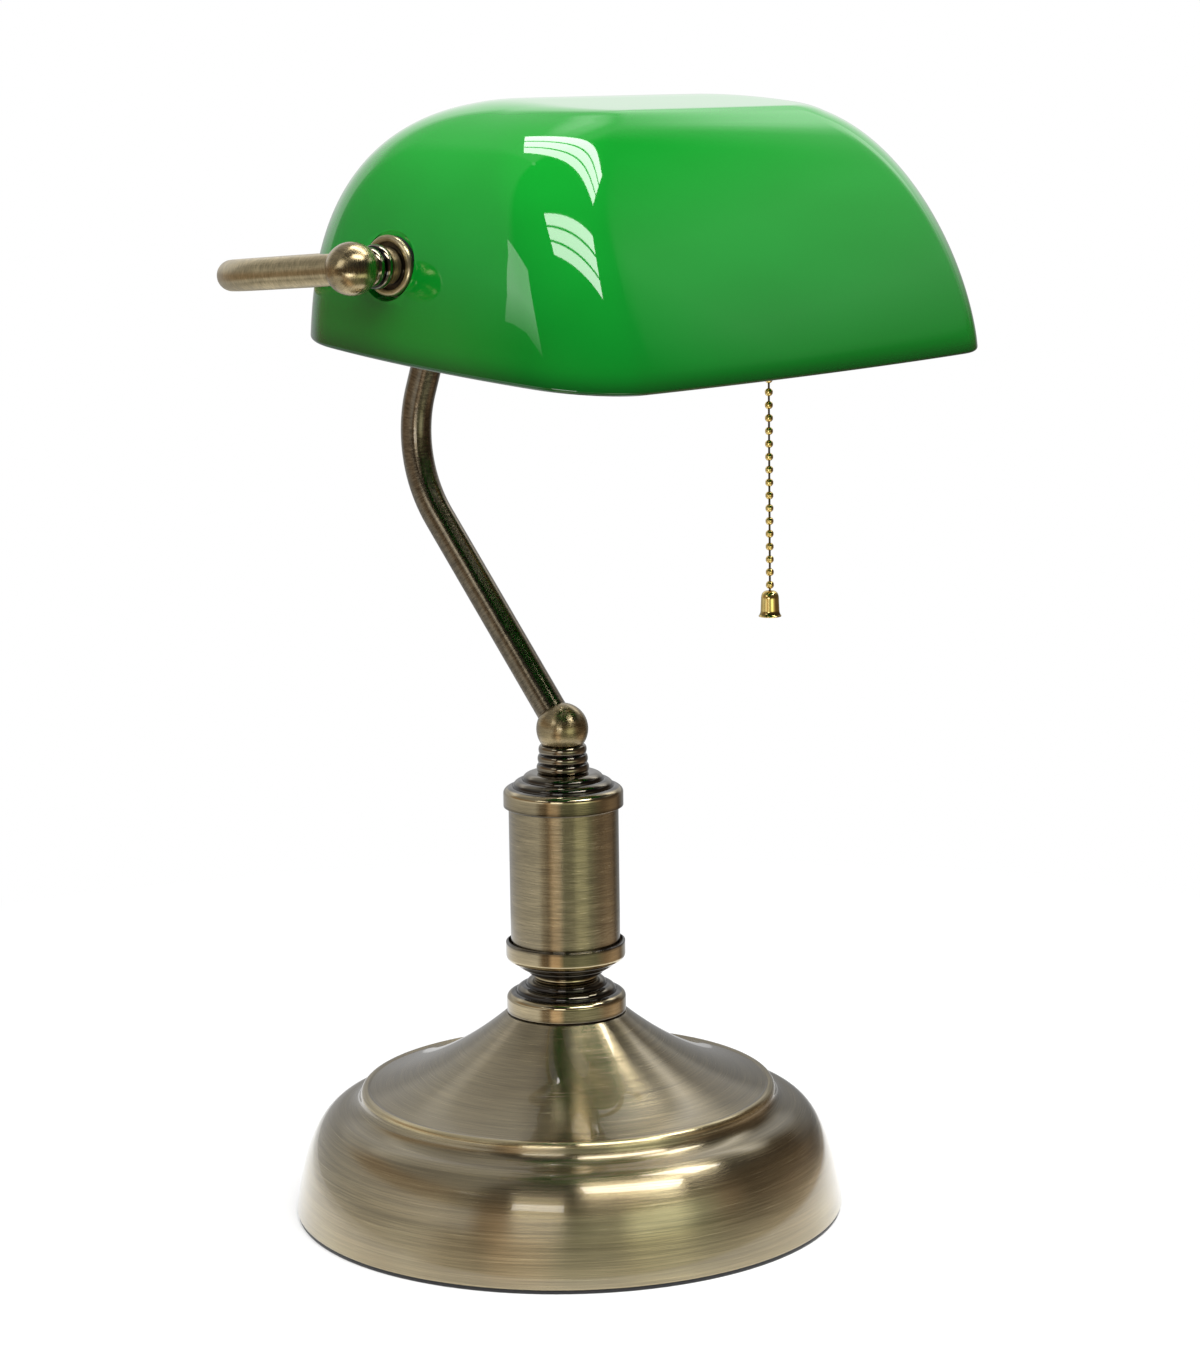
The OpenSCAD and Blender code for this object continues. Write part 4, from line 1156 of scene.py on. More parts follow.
@dataclass
class Stem(Assembly):
    """The stem: stepped fittings, waist ring, column, ribbed neck, and the pipe that holds them."""

    cup_radius: float = 19.2
    cup_neck: float = 9.8
    skirt: float = 4.8
    skirt_wall: float = 0.8
    skirt_flare: float = 0.1
    skirt_gap: float = 0.5
    steps_height: float = 6.6
    step_count: int = 3
    round_steps: int = 10
    groove: float = 0.35
    groove_lip: float = 0.05
    # Reach of the painted shade on each step's tread, for its dark reflection band
    tread_painted_shade: float = 1.5
    # Turn on the first step's rounding above which the darker brass paints the steps' shade
    shaded_from_turn: float = 55.0
    pipe_bore: float = 5.05
    shank_bore: float = 6.45
    shank_radius: float = 6.4
    neck_bore: float = 4.4
    column_wall: float = 1.2
    ribs: Ribs = Ribs(count=3, depth=0.8, taper=0.35)
    # Reach of the painted shade in the neck's grooves
    rib_painted_shade: float = 1.0

    def build(self) -> None:
        """Makes the fittings that show, and dresses what is inside."""
        for node, bore in (("foot_collar", self.pipe_bore), ("upper_cap", self.shank_bore)):
            self._cup(node, upright(NodeBox.of(node).low.z), bore)
        rim = Vector((0, 0, NodeBox.of("lower_cup").high.z))
        self._cup("lower_cup", stand(rim, -UP), self.pipe_bore)
        self._waist()
        self._column()
        self._neck()
        self.dress(STEEL, "threaded_pipe", "pipe_washer", "pipe_nut")
        self.dress(JACKET, "lead_in_stem")

    def _cup(self, node: str, placing: Matrix, bore: float) -> None:
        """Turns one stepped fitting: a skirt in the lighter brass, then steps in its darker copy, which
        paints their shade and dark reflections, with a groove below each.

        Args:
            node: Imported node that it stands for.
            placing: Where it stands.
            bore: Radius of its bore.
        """
        width = (self.cup_radius - self.cup_neck) / self.step_count
        rise = self.steps_height / self.step_count
        hollow = self.cup_radius - self.skirt_wall
        height = self.skirt + self.steps_height
        turns = [math.radians(90 * j / self.round_steps) for j in range(self.round_steps)]
        outline = [(hollow, 0), (hollow + self.skirt_flare, self.skirt_gap)]
        outline += [(self.cup_radius, self.skirt_gap)]
        for i in range(self.step_count):
            foot = self.skirt + i * rise
            out = self.cup_radius - i * width
            if i > 0:
                outline += [(out + self.groove, foot - self.groove_lip)]
                outline += [(out + self.groove / 2, foot - self.groove)]
            outline += [(out - width + width * math.cos(a), foot + rise * math.sin(a)) for a in turns]
        outline += [(self.cup_neck, height), (bore, height), (bore, self.skirt), (hollow, self.skirt)]
        cup = Turning(
            f"{node}_turned", outline, placing, edge=0.2, spacing=0.3, sides=128, shoulder_reach=0.5,
            hollow=self.tread_painted_shade,
        ).build()
        # Faces above the brow take the darker copy of the brass, which paints the steps' shade and dark
        # reflections
        inward = placing.inverted()
        brow = (self.skirt + rise * math.sin(math.radians(self.shaded_from_turn))) * MM
        shaded_steps = [int((inward @ face.center).z > brow) for face in cup.data.polygons]
        cup.data.polygons.foreach_set("material_index", shaded_steps)
        self.put(cup, Body.BASE, Slot.AGED_BRASS, [DARK_BRASS, SHADED_STEP_BRASS], node)

    def _waist(self) -> None:
        """Turns the ring at the waist, with a rounded rim."""
        box = NodeBox.of("waist_ring")
        height = box.size.z
        rim = box.size.x / 2 - height / 2
        outline = [(self.pipe_bore, 0), (rim, 0)] + arc((rim, height / 2), height / 2, -90, 90, steps=10)
        outline += [(self.pipe_bore, height)]
        ring = Turning(
            "waist_ring_turned", outline, upright(box.low.z), edge=0.1, spacing=0.5, shoulder_reach=0.8,
        )
        self.put(ring.build(), Body.BASE, Slot.BRIGHT_BRASS, [DARK_BRASS], "waist_ring")

    def _column(self) -> None:
        """Draws the column's tube."""
        box = NodeBox.of("column_tube")
        radius = box.size.x / 2
        outline = rod(radius, 0, box.size.z, radius - self.column_wall)
        column = Turning("column_tube_drawn", outline, upright(box.low.z), edge=0.4, spacing=1.5, sides=128)
        self.put(column.build(), Body.BASE, Slot.AGED_BRASS, [AGED_BRASS], "column_tube")

    def _neck(self) -> None:
        """Turns the ribbed neck under the arm ball, with its shank inside the cap."""
        box = NodeBox.of("ribbed_neck")
        cap_top = NodeBox.of("upper_cap").high.z
        shank = (cap_top - box.low.z) / MM
        height = (box.high.z - cap_top) / MM
        outline = [(self.neck_bore, -shank), (self.shank_radius, -shank), (self.shank_radius, 0)]
        outline += self.ribs.outline(box.size.x / 2, height) + [(self.neck_bore, height)]
        neck = Turning(
            "ribbed_neck_turned", outline, upright(cap_top), edge=0.12, spacing=0.3, shoulder_reach=0.5,
            hollow=self.rib_painted_shade,
        )
        self.put(neck.build(), Body.BASE, Slot.AGED_BRASS, [SHADED_RIB_BRASS], "ribbed_neck")


@dataclass
class ArmAndYoke(Assembly):
    """The arm: its ball, bent tube, hub, the yoke round the back of the shade, and the yoke's balls."""

    lean: float = 38.0
    corner_rise: float = 83.0
    arm_radius: float = 5.0
    arm_bend: float = 43.0
    yoke_radius: float = 4.6
    yoke_bend: float = 38.0
    yoke_drop: float = 4.1
    tube_bore: float = 3.2
    seat: float = 4.0
    path_step: float = 2.0
    tail_radius: float = 4.3
    tail_bore: float = 2.9
    neck_gap: float = 0.2
    hub_gap: float = 0.3
    nipple_bore: float = 4.05
    nipple_depth: float = 3.9

    def build(self) -> None:
        """Makes the tubes and balls, and dresses what is inside."""
        ball = self._arm_ball()
        hub = NodeBox.of("yoke_hub").centre
        self._hub(hub)
        self._arm(ball, hub)
        self._yoke(hub)
        for side in Side:
            self._yoke_ball(side)
        self.dress(STEEL, "snap_ring", "friction_washers")
        self.dress(JACKET, "lead_in_arm")

    def _ball(self, radius: float, flat: float) -> list[Point]:
        """Outline of a ball, from a flat at a depth below its middle to its top."""
        start = -math.degrees(math.asin(flat / radius))
        return arc((0, 0), radius, start, 90, steps=30)[:-1] + [(0, radius)]

    def _arm_ball(self) -> Vector:
        """Turns the ball that swivels on the neck, with its tail.

        Returns:
            The ball's centre.
        """
        box = NodeBox.of("arm_ball")
        radius = box.size.x / 2
        centre = Vector((0, 0, box.high.z - radius * MM))
        flat = (centre.z - NodeBox.of("ribbed_neck").high.z) / MM - self.neck_gap
        tail = (centre.z - box.low.z) / MM
        outline = [(self.tail_bore, -tail), (self.tail_radius, -tail), (self.tail_radius, -flat)]
        outline += self._ball(radius, flat) + [(0, 0), (self.tail_bore, 0)]
        ball = Turning("arm_ball_turned", outline, stand(centre, UP), edge=0.2, spacing=0.8, sides=64)
        self.put(ball.build(), Body.ARM, Slot.AGED_BRASS, [BALL_BRASS], "arm_ball")
        return centre

    def _hub(self, centre: Vector) -> None:
        """Turns the hub that joins the arm to the yoke."""
        radius = NodeBox.of("yoke_hub").size.x / 2
        outline = [(0, -radius)] + arc((0, 0), radius, -90, 90, steps=36)[1:-1] + [(0, radius)]
        hub = Turning("yoke_hub_turned", outline, stand(centre, ALONG), edge=0.0, spacing=0.8, sides=64)
        self.put(hub.build(), Body.ARM, Slot.AGED_BRASS, [SATIN_BRASS], "yoke_hub")

    def _arm(self, ball: Vector, hub: Vector) -> None:
        """Bends the arm's tube from the ball to the hub.

        Args:
            ball: Centre of the arm ball.
            hub: Centre of the hub.
        """
        lean = math.radians(self.lean)
        corner = ball + Vector((0, math.tan(lean), 1)) * self.corner_rise * MM
        start = ball + (corner - ball).normalized() * self.seat * MM
        end = hub + (corner - hub).normalized() * (self.yoke_radius + self.hub_gap) * MM
        path = rounded_path([start, corner, end], [self.arm_bend], self.path_step)
        tube = BentTube("arm_tube_bent", path, ALONG, self.arm_radius, self.tube_bore)
        self.put(tube.build(), Body.ARM, Slot.AGED_BRASS, [SHADED_ARM_BRASS], "arm_tube")

    def _yoke(self, hub: Vector) -> None:
        """Bends the yoke's tube from one ball to the other.

        Args:
            hub: Centre of the hub, in the middle of the yoke's back bar.
        """
        drop = math.radians(self.yoke_drop)
        back = Vector((0, math.cos(drop), -math.sin(drop)))
        reach = NodeBox.of("yoke_tube").size.x / 2 - self.yoke_radius
        along = ALONG * reach * MM
        axis = NodeBox.of("nipple_right").centre
        legs = Vector((0, axis.y, axis.z)) + back * self.seat * MM
        corners = [legs - along, hub - along, hub + along, legs + along]
        path = rounded_path(corners, [self.yoke_bend, self.yoke_bend], self.path_step)
        across = ALONG.cross(back).normalized()
        tube = BentTube("yoke_tube_bent", path, across, self.yoke_radius, self.tube_bore)
        self.put(tube.build(), Body.ARM, Slot.AGED_BRASS, [SATIN_BRASS], "yoke_tube")

    def _yoke_ball(self, side: Side) -> None:
        """Turns one ball on the yoke's end, with a flat and a bore towards the shade.

        Args:
            side: End of the shade.
        """
        node = side.node("yoke_ball")
        box = NodeBox.of(node)
        radius = box.size.z / 2
        flat = box.size.x - radius
        outer = box.high.x if side is Side.RIGHT else box.low.x
        centre = Vector((outer, box.centre.y, box.centre.z)) - side.outward * radius * MM
        outline = [(self.nipple_bore, -flat)] + self._ball(radius, flat)
        outline += [(0, self.nipple_depth), (self.nipple_bore, self.nipple_depth)]
        placing = stand(centre, side.outward)
        ball = Turning(f"{node}_turned", outline, placing, edge=0.2, spacing=0.8, sides=64)
        self.put(ball.build(), Body.ARM, Slot.AGED_BRASS, [BALL_BRASS], node)


@dataclass
class Knobs(Assembly):
    """What holds the shade at each end: ribbed neck, stepped flange, nipple, gaskets and nuts."""

    bore: float = 4.05
    roll: float = 1.05
    recess: float = 0.735
    boss_inset: float = 1.0
    ribs: Ribs = Ribs(count=2, depth=0.8, taper=0.6)
    # Reach of the painted shade in the flanges' recess and the necks' grooves
    groove_painted_shade: float = 1.0

    def build(self) -> None:
        """Makes the necks and flanges, and dresses the rest."""
        for side in Side:
            self._flange(side)
            self._neck(side)
        self.dress(STEEL, "nipple_left", "nipple_right", "clamp_washer", "clamp_nut", "cap_locknut")
        self.dress(RUBBER, "glass_gaskets")

    def _inner_end(self, box: NodeBox, side: Side) -> Matrix:
        """Placing at the end of a box that faces the shade, with heights running outwards."""
        inner = box.low.x if side is Side.RIGHT else box.high.x
        return stand(Vector((inner, box.centre.y, box.centre.z)), side.outward)

    def _flange(self, side: Side) -> None:
        """Turns one flange: a rolled rim against the glass, and a recess round the neck's boss.

        Args:
            side: End of the shade.
        """
        node = side.node("flange")
        box = NodeBox.of(node)
        radius, height = box.size.z / 2, box.size.x
        boss = NodeBox.of(side.node("knob_neck")).size.z / 2 - self.boss_inset
        outline = [(self.bore, 0)] + arc((radius - self.roll, self.roll), self.roll, -90, 190, steps=24)
        outline += [(radius - 2 * self.roll, self.recess), (boss, self.recess)]
        outline += [(boss, height), (self.bore, height)]
        flange = Turning(
            f"{node}_turned", outline, self._inner_end(box, side), edge=0.15, spacing=0.3, sides=72,
            shoulder_reach=0.5, hollow=self.groove_painted_shade,
        )
        self.put(flange.build(), Body.SHADE, Slot.AGED_BRASS, [SATIN_BRASS], node)

    def _neck(self, side: Side) -> None:
        """Turns one ribbed neck between the flange and the yoke's ball.

        Args:
            side: End of the shade.
        """
        node = side.node("knob_neck")
        box = NodeBox.of(node)
        height = box.size.x
        outline = [(self.bore, 0)] + self.ribs.outline(box.size.z / 2, height) + [(self.bore, height)]
        neck = Turning(
            f"{node}_turned", outline, self._inner_end(box, side), edge=0.1, spacing=0.3, sides=72,
            shoulder_reach=0.5, hollow=self.groove_painted_shade,
        )
        self.put(neck.build(), Body.SHADE, Slot.AGED_BRASS, [SHADED_RIB_BRASS], node)


@dataclass
class GlassShade(Assembly):
    """The blown shade: a loft of rounded outlines, coloured outside and white inside."""

    length: float = 216.0
    width: float = 125.0
    height: float = 73.0
    thickness: float = 4.0
    tilt: float = 6.4
    axis_back: float = 17.0
    axis_rise: float = 27.0
    top_length: float = 102.0
    top_front: float = 13.6
    top_back: float = 15.4
    end_power: float = 2.42
    front_power: float = 1.29
    back_power: float = 2.58
    end_bow: float = 8.5
    side_bow: float = 3.4
    rim_corner: float = 22.0
    top_corner: float = 23.0
    rim_round: float = 1.3
    # Painted shade on the outer face: a narrow band at the rim, and a broad darkening that fades upwards
    rim_shade_band: float = 7.0
    low_painted_shade: float = 0.48
    low_shade_height: float = 62.0
    colour_depth: float = 1.6
    seat_inset: float = 5.0
    seat_thickness: float = 5.0
    seat_radius: float = 10.0
    hole_radius: float = 4.8
    tool_reach: float = 1.0
    top_shares: tuple[float, ...] = (0.15, 0.4, 0.65, 0.85)
    corner_limit: float = 0.9
    glass_turn: float = 40.0
    levels: int = 56
    rim_steps: int = 6
    corner_steps: int = 14
    end_steps: int = 18
    side_steps: int = 30

    def build(self) -> None:
        """Lofts the glass, grinds its seats and holes, and gives it its two layers."""
        rings, shares = self._rings()
        size = len(rings[0])
        points = np.concatenate(rings)
        faces = []
        for i in range(len(rings) - 1):
            for j in range(size):
                k = (j + 1) % size
                faces.append((i * size + k, i * size + j, (i + 1) * size + j, (i + 1) * size + k))
        last = (len(rings) - 1) * size
        faces.append(tuple(range(size)))
        faces.append(tuple(range(last + size - 1, last - 1, -1)))
        glass = mesh_object("shade_blown", self._placed(points), faces)
        white = [share[0] > self.colour_depth for share in shares]
        numbers = [int(white[i] and white[i + 1]) for i in range(len(rings) - 1) for _ in range(size)]
        glass.data.polygons.foreach_set("material_index", numbers + [int(white[0]), int(white[-1])])
        # Each outer ring's painted shade towards the rim
        add_values(glass, RIM_SHADE, np.repeat([share[1] for share in shares], size))
        for finish in (GREEN_GLASS, WHITE_LINING):
            glass.data.materials.append(finish.material())
        self._grind(glass)
        glass.data.materials.clear()
        self.put(glass, Body.SHADE, Slot.GREEN_GLASS, [GREEN_GLASS, WHITE_LINING], "shade")

    def _blend(self, rim: float, top: float, t: float, power: float) -> float:
        """A half size at a share of the height, from the rim's to the top's."""
        return top + (rim - top) * max(0.0, 1 - t**power) ** (1 / power)

    def _ring(self, t: float, thick: float, level: float) -> np.ndarray:
        """One rounded outline of the glass.

        Args:
            t: Share of the height, which gives the outline's size.
            thick: Depth below the outer face.
            level: Height of the outline above the rim.

        Returns:
            The outline's points, one row each.
        """
        half_x = self._blend(self.length / 2, self.top_length / 2, t, self.end_power) - thick
        front = self._blend(self.width / 2, self.top_front, t, self.front_power) - thick
        back = self._blend(self.width / 2, self.top_back, t, self.back_power) - thick
        half_y = (front + back) / 2
        corner = self.rim_corner + (self.top_corner - self.rim_corner) * t
        corner = min(corner, self.corner_limit * half_y)
        bow_x = self.end_bow * (2 * half_y / self.width) ** 2
        bow_y = self.side_bow * (2 * half_x / self.length) ** 2
        points = []
        for x, y in self._outline(half_x, half_y, corner):
            bowed_x = x - math.copysign(bow_x, x) * (y / half_y) ** 2 * (x / half_x) ** 4
            bowed_y = y - math.copysign(bow_y, y) * (x / half_x) ** 2 * (y / half_y) ** 4
            points.append((bowed_x, bowed_y + (back - front) / 2, level))
        return np.array(points)

    def _outline(self, half_x: float, half_y: float, corner: float) -> list[Point]:
        """A rounded rectangle: each corner, then points along the side that follows it."""
        signs = ((1, -1), (1, 1), (-1, 1), (-1, -1))
        centres = [(sx * (half_x - corner), sy * (half_y - corner)) for sx, sy in signs]
        points: list[Point] = []
        for k, here in enumerate(centres):
            after = centres[(k + 1) % 4]
            turned = arc(here, corner, 90 * (k - 1), 90 * k, self.corner_steps)
            points += turned
            count = self.end_steps if k % 2 == 0 else self.side_steps
            offset = (turned[-1][0] - here[0], turned[-1][1] - here[1])
            for j in range(1, count + 1):
                s = j / (count + 1)
                points.append((here[0] + offset[0] + (after[0] - here[0]) * s,
                               here[1] + offset[1] + (after[1] - here[1]) * s))
        return points

    def _rings(self) -> tuple[list[np.ndarray], list[Point]]:
        """All outlines: down the outside from the top's middle, round the rim, and up the inside.

        Returns:
            The outlines, and for each its depth below the outer face and its share of the painted shade
            towards the rim.
        """
        low = self.rim_round / self.height
        heights = [math.sin(math.pi / 2 * i / self.levels) for i in range(self.levels + 1)]
        heights = [t for t in heights if t > 2 * low]
        turns = [math.radians(90 * i / self.rim_steps) for i in range(self.rim_steps + 1)]
        rim = [(self.rim_round * (1 - math.cos(a)), self.rim_round * (1 - math.sin(a))) for a in turns]
        inner_height = self.height - self.thickness
        rings = self._crown(0.0, self.height)
        shares = [(0.0, 0.0)] * len(rings)
        for t in reversed(heights):
            rings.append(self._ring(t, 0.0, self.height * t))
            shares.append((0.0, self._painted_shade_at(self.height * t)))
        for depth, level in rim:
            rings.append(self._ring(level / self.height, depth, level))
            shares.append((depth, 1.0))
        for depth, level in reversed(rim):
            rings.append(self._ring(level / self.height, self.thickness - depth, level))
            shares.append((self.thickness - depth, 0.0))
        inside = [self._ring(t, self.thickness, inner_height * t) for t in heights]
        inside += reversed(self._crown(self.thickness, inner_height))
        return rings + inside, shares + [(self.thickness, 0.0)] * len(inside)

    def _crown(self, thick: float, level: float) -> list[np.ndarray]:
        """Outlines of the flat top at a depth below the outer face, from its middle outwards."""
        edge = self._ring(1.0, thick, level)
        middle = edge.mean(axis=0)
        return [middle + (edge - middle) * share for share in self.top_shares]

    def _painted_shade_at(self, level: float) -> float:
        """Painted shade on the green at a height above the rim: a narrow band and a broad fade, from 1 at the
        rim to 0 at the top.
        """
        broad = self.low_painted_shade * max(0.0, 1 - level / self.low_shade_height)
        return broad + (1 - broad) * max(0.0, 1 - level / self.rim_shade_band)

    def _placed(self, points: np.ndarray) -> np.ndarray:
        """Points of the shade's own frame, put on the tilt axis and tilted as it stands, in metres."""
        axis = NodeBox.of("nipple_right").centre
        placing = Matrix.Translation((0, axis.y, axis.z)) @ Matrix.Rotation(math.radians(self.tilt), 4, "X")
        local = (points - np.array([0.0, self.axis_back, self.axis_rise])) * MM
        return local @ np.array(placing.to_3x3()).T + np.array(placing.translation)

    def _grind(self, glass: bpy.types.Object) -> None:
        """Thickens the glass at each knob, and grinds a flat seat and a hole there.

        Args:
            glass: The lofted shade.
        """
        axis = NodeBox.of("nipple_right").centre
        seat = self.length / 2 - self.seat_inset
        inner, outer = seat - self.seat_thickness, self.length / 2 + self.tool_reach
        steps = (
            (rod(self.seat_radius, inner, seat), "UNION"),
            (rod(self.seat_radius, seat, outer), "DIFFERENCE"),
            (rod(self.hole_radius, inner - self.tool_reach, outer), "DIFFERENCE"),
        )
        for side in Side:
            placing = stand(Vector((0, axis.y, axis.z)), side.outward)
            for outline, way in steps:
                tool = Turning("grinding_tool", outline, placing, edge=0.0, spacing=2.0, sides=64).build()
                for finish in (GREEN_GLASS, WHITE_LINING):
                    tool.data.materials.append(finish.material())
                tool.data.polygons.foreach_set("material_index", [1] * len(tool.data.polygons))
                combine(glass, tool, way)
        glass.data.set_sharp_from_angle(angle=math.radians(self.glass_turn))


@dataclass
class LampHolder(Assembly):
    """The lamp holder on the right nipple, with its switch, and the bulb."""

    cap_round: float = 9.0
    cap_nose: float = 8.5
    cap_end: float = 2.4
    cap_bevel: float = 4.0
    cap_gap: float = 0.05
    nipple: float = 4.02
    shell_wall: float = 0.8
    bead_place: float = 0.62
    bead_rise: float = 0.5
    bead_half: float = 1.6
    bulb_neck: float = 10.0
    bulb_neck_radius: float = 12.9

    def build(self) -> None:
        """Makes the cap, the shell and the bulb, and dresses the rest."""
        self._cap()
        self._shell()
        self._bulb()
        self.dress(FIBRE, "holder_sleeve")
        self.dress(PLASTIC, "switch_body")
        self.dress(HOLDER_BRASS, "screw_shell", "centre_contact", "chain_guide")
        self.dress(STEEL, "lever_pin")
        self.dress(JACKET, "lead_in_holder")
        self.dress(BULB_METAL, "bulb_cap")

    def _inward(self, box: NodeBox) -> Matrix:
        """Placing at the end of a box nearest the glass, with heights running into the shade."""
        return stand(Vector((box.high.x, box.centre.y, box.centre.z)), -ALONG)

    def _cap(self) -> None:
        """Draws the holder's cap: a round end, then a straight skirt over the shell."""
        box = NodeBox.of("holder_cap")
        radius, depth = box.size.z / 2, box.size.x
        skirt = NodeBox.of("holder_shell").size.z / 2 + self.cap_gap
        outline = [(self.nipple, 0)]
        outline += curve([(self.cap_nose, 0), (radius, 0), (radius, self.cap_round)])
        outline += [(radius, depth), (skirt, depth), (skirt, self.cap_end + self.cap_bevel)]
        outline += [(skirt - self.cap_bevel, self.cap_end), (self.nipple, self.cap_end)]
        cap = Turning("holder_cap_drawn", outline, self._inward(box), edge=0.25)
        self.put(cap.build(), Body.SHADE, Slot.BRIGHT_BRASS, [HOLDER_BRASS], "holder_cap")

    def _shell(self) -> None:
        """Draws the holder's shell, with a bead rolled into it."""
        box = NodeBox.of("holder_shell")
        radius, depth = box.size.z / 2, box.size.x
        place, half = depth * self.bead_place, self.bead_half
        bead = [(radius, place - half), (radius - 2 * self.bead_rise, place), (radius, place + half)]
        outline = [(radius - self.shell_wall, 0), (radius, 0)] + curve(bead, steps=10)
        outline += [(radius, depth), (radius - self.shell_wall, depth)]
        shell = Turning("holder_shell_drawn", outline, self._inward(box), edge=0.2, spacing=1.2)
        self.put(shell.build(), Body.SHADE, Slot.BRIGHT_BRASS, [HOLDER_BRASS], "holder_shell")

    def _bulb(self) -> None:
        """Blows the bulb's tube: a neck, a straight length and a round end."""
        box = NodeBox.of("bulb_glass")
        radius, length = box.size.z / 2, box.size.x
        neck = [(self.bulb_neck_radius, 0), (radius, self.bulb_neck / 2), (radius, self.bulb_neck)]
        end = [(radius, length - radius), (radius, length), (0, length)]
        outline = [(0, 0)] + curve(neck, steps=10) + curve(end, steps=18)
        bulb = Turning("bulb_glass_blown", outline, self._inward(box), spacing=2.0, sides=80)
        self.put(bulb.build(), Body.SHADE, Slot.OPAL_GLASS, [BULB_GLASS], "bulb_glass")


@dataclass
class PullChain(Assembly):
    """The switch's lever and the bead chain with its bell."""

    link: float = 0.34
    bead: float = 1.6
    bead_shown: float = 1.35
    pitch: float = 4.23
    seam: float = 0.08
    bell_mouth: float = 3.75
    bell_lip: float = 0.3
    bell_wall: float = 0.45
    bell_waist: Point = (3.1, 2.2)
    bell_crown: float = 2.95
    bell_crown_height: float = 2.7
    bell_hole: float = 0.7
    bell_ease: float = 0.1
    bell_hollow: Point = (0.5, 1.0)
    bell_room: float = 4.8
    # Reach of the painted shade on the links between the beads
    link_painted_shade: float = 0.8

    def build(self) -> None:
        """Makes the chain's beads and the bell, and dresses the lever."""
        self.dress(HOLDER_BRASS, "switch_lever")
        self._beads("chain_top", Body.CHAIN_TOP)
        self._beads("chain_knuckle", Body.KNUCKLE)
        self._beads("pull_chain", Body.CHAIN)
        self._bell()

    def _bead(self, height: float) -> list[Point]:
        """Outline of one bead from low to high, drawn in a little at its seam.

        Args:
            height: Height of the bead's middle.

        Returns:
            The outline's points.
        """
        edge = math.degrees(math.acos(self.link / self.bead_shown))
        points = arc((0, height), self.bead_shown, -edge, edge, steps=18)
        points[len(points) // 2] = (self.bead_shown - self.seam, height)
        return points

    def _beads(self, node: str, body: Body) -> None:
        """Strings the beads of one of the chain's bodies.

        Args:
            node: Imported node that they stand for.
            body: Body that they move with.
        """
        box = NodeBox.of(node)
        outline = [(0, 0), (self.link, 0)]
        for level in self._levels(node):
            outline += self._bead(level)
        outline += [(self.link, box.size.z), (0, box.size.z)]
        placing = stand(Vector((box.centre.x, box.centre.y, box.low.z)), UP)
        beads = Turning(
            f"{node}_strung", outline, placing, edge=0.0, spacing=0.5, sides=28, shoulder_reach=0.3,
            hollow=self.link_painted_shade,
        )
        self.put(beads.build(), body, Slot.BRIGHT_BRASS, [BRIGHT_BRASS], node)

    def _levels(self, node: str) -> list[float]:
        """Heights of the beads of one of the chain's bodies, a pitch apart above and below the knuckle.

        Args:
            node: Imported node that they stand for.

        Returns:
            Heights above the node's foot, from low to high.
        """
        box = NodeBox.of(node)
        knuckle = (NodeBox.of("chain_knuckle").centre.z - box.low.z) / MM
        if node == "chain_top":
            return [knuckle + self.pitch, box.size.z - self.bead]
        if node == "chain_knuckle":
            return [knuckle]
        count = int((knuckle - self.bell_room) / self.pitch)
        return [self.bead] + [knuckle - i * self.pitch for i in range(count, 0, -1)]

    def _bell(self) -> None:
        """Stamps the bell on the chain's end."""
        box = NodeBox.of("chain_bell")
        mouth, height = self.bell_mouth, box.size.z
        crown = height - self.bell_crown_height
        waist, wall = self.bell_waist, self.bell_wall
        outline = [(mouth - wall, 0), (mouth, 0), (mouth, self.bell_lip)]
        rise = [(mouth - self.bell_ease, self.bell_lip + self.bell_ease), (waist[0], waist[1] / 2), waist]
        dome = [(self.bell_crown, crown), (self.bell_crown, height), (self.bell_hole, height)]
        outline += curve(rise, steps=10) + curve(dome, steps=14)
        bevel, inset = self.bell_hollow
        inner = [(self.bell_hole, height - wall), (self.bell_crown - wall - bevel, crown + inset)]
        inner += [(self.bell_crown - wall, crown), (waist[0] - wall, waist[1])]
        placing = stand(Vector((box.centre.x, box.centre.y, box.low.z)), UP)
        bell = Turning(
            "chain_bell_stamped", outline + inner, placing, edge=0.15, spacing=0.5, sides=56, shoulder_reach=0.4,
        )
        self.put(bell.build(), Body.CHAIN, Slot.BRIGHT_BRASS, [BRIGHT_BRASS], "chain_bell")


# The studio


Band = tuple[float, float, Cloth]


def band_colours(bands: Sequence[Band], turns: np.ndarray) -> np.ndarray:
    """Colours of cloths that hang side by side in a ring.

    Args:
        bands: Azimuth, brightness and colour of each cloth, in order.
        turns: Azimuths to give the colours at, in degrees.

    Returns:
        One row of red, green and blue for each azimuth.
    """
    places = [place for place, _, _ in bands]
    colours = np.array([[level * part for part in cloth.value] for _, level, cloth in bands])
    return np.stack([np.interp(turns, places, colours[:, k]) for k in range(3)], axis=1)


@dataclass(frozen=True)
class Hanging:
    """Cloths that hang side by side in a ring, over a span of heights."""

    heights: tuple[float, ...]
    bands: tuple[Band, ...]


@dataclass(frozen=True)
class Strip:
    """A soft light of one or more slats, hung between two points and facing the lamp."""

    start: Place
    end: Place
    width: float
    radiance: float
    slats: int = 1
    shows: bool = True

    @property
    def length(self) -> float:
        """How long the slats are."""
        return (Vector(self.end) - Vector(self.start)).length

    def placing(self, target: Vector) -> Matrix:
        """Where the strip hangs, with its length along X, facing a point.

        Args:
            target: The point.

        Returns:
            Its matrix.
        """
        centre = (Vector(self.start) + Vector(self.end)) / 2
        along = (Vector(self.end) - Vector(self.start)).normalized()
        back = centre - target
        back = (back - along * back.dot(along)).normalized()
        turn = Matrix((along, back.cross(along), back)).transposed()
        return Matrix.Translation(centre) @ turn.to_4x4()


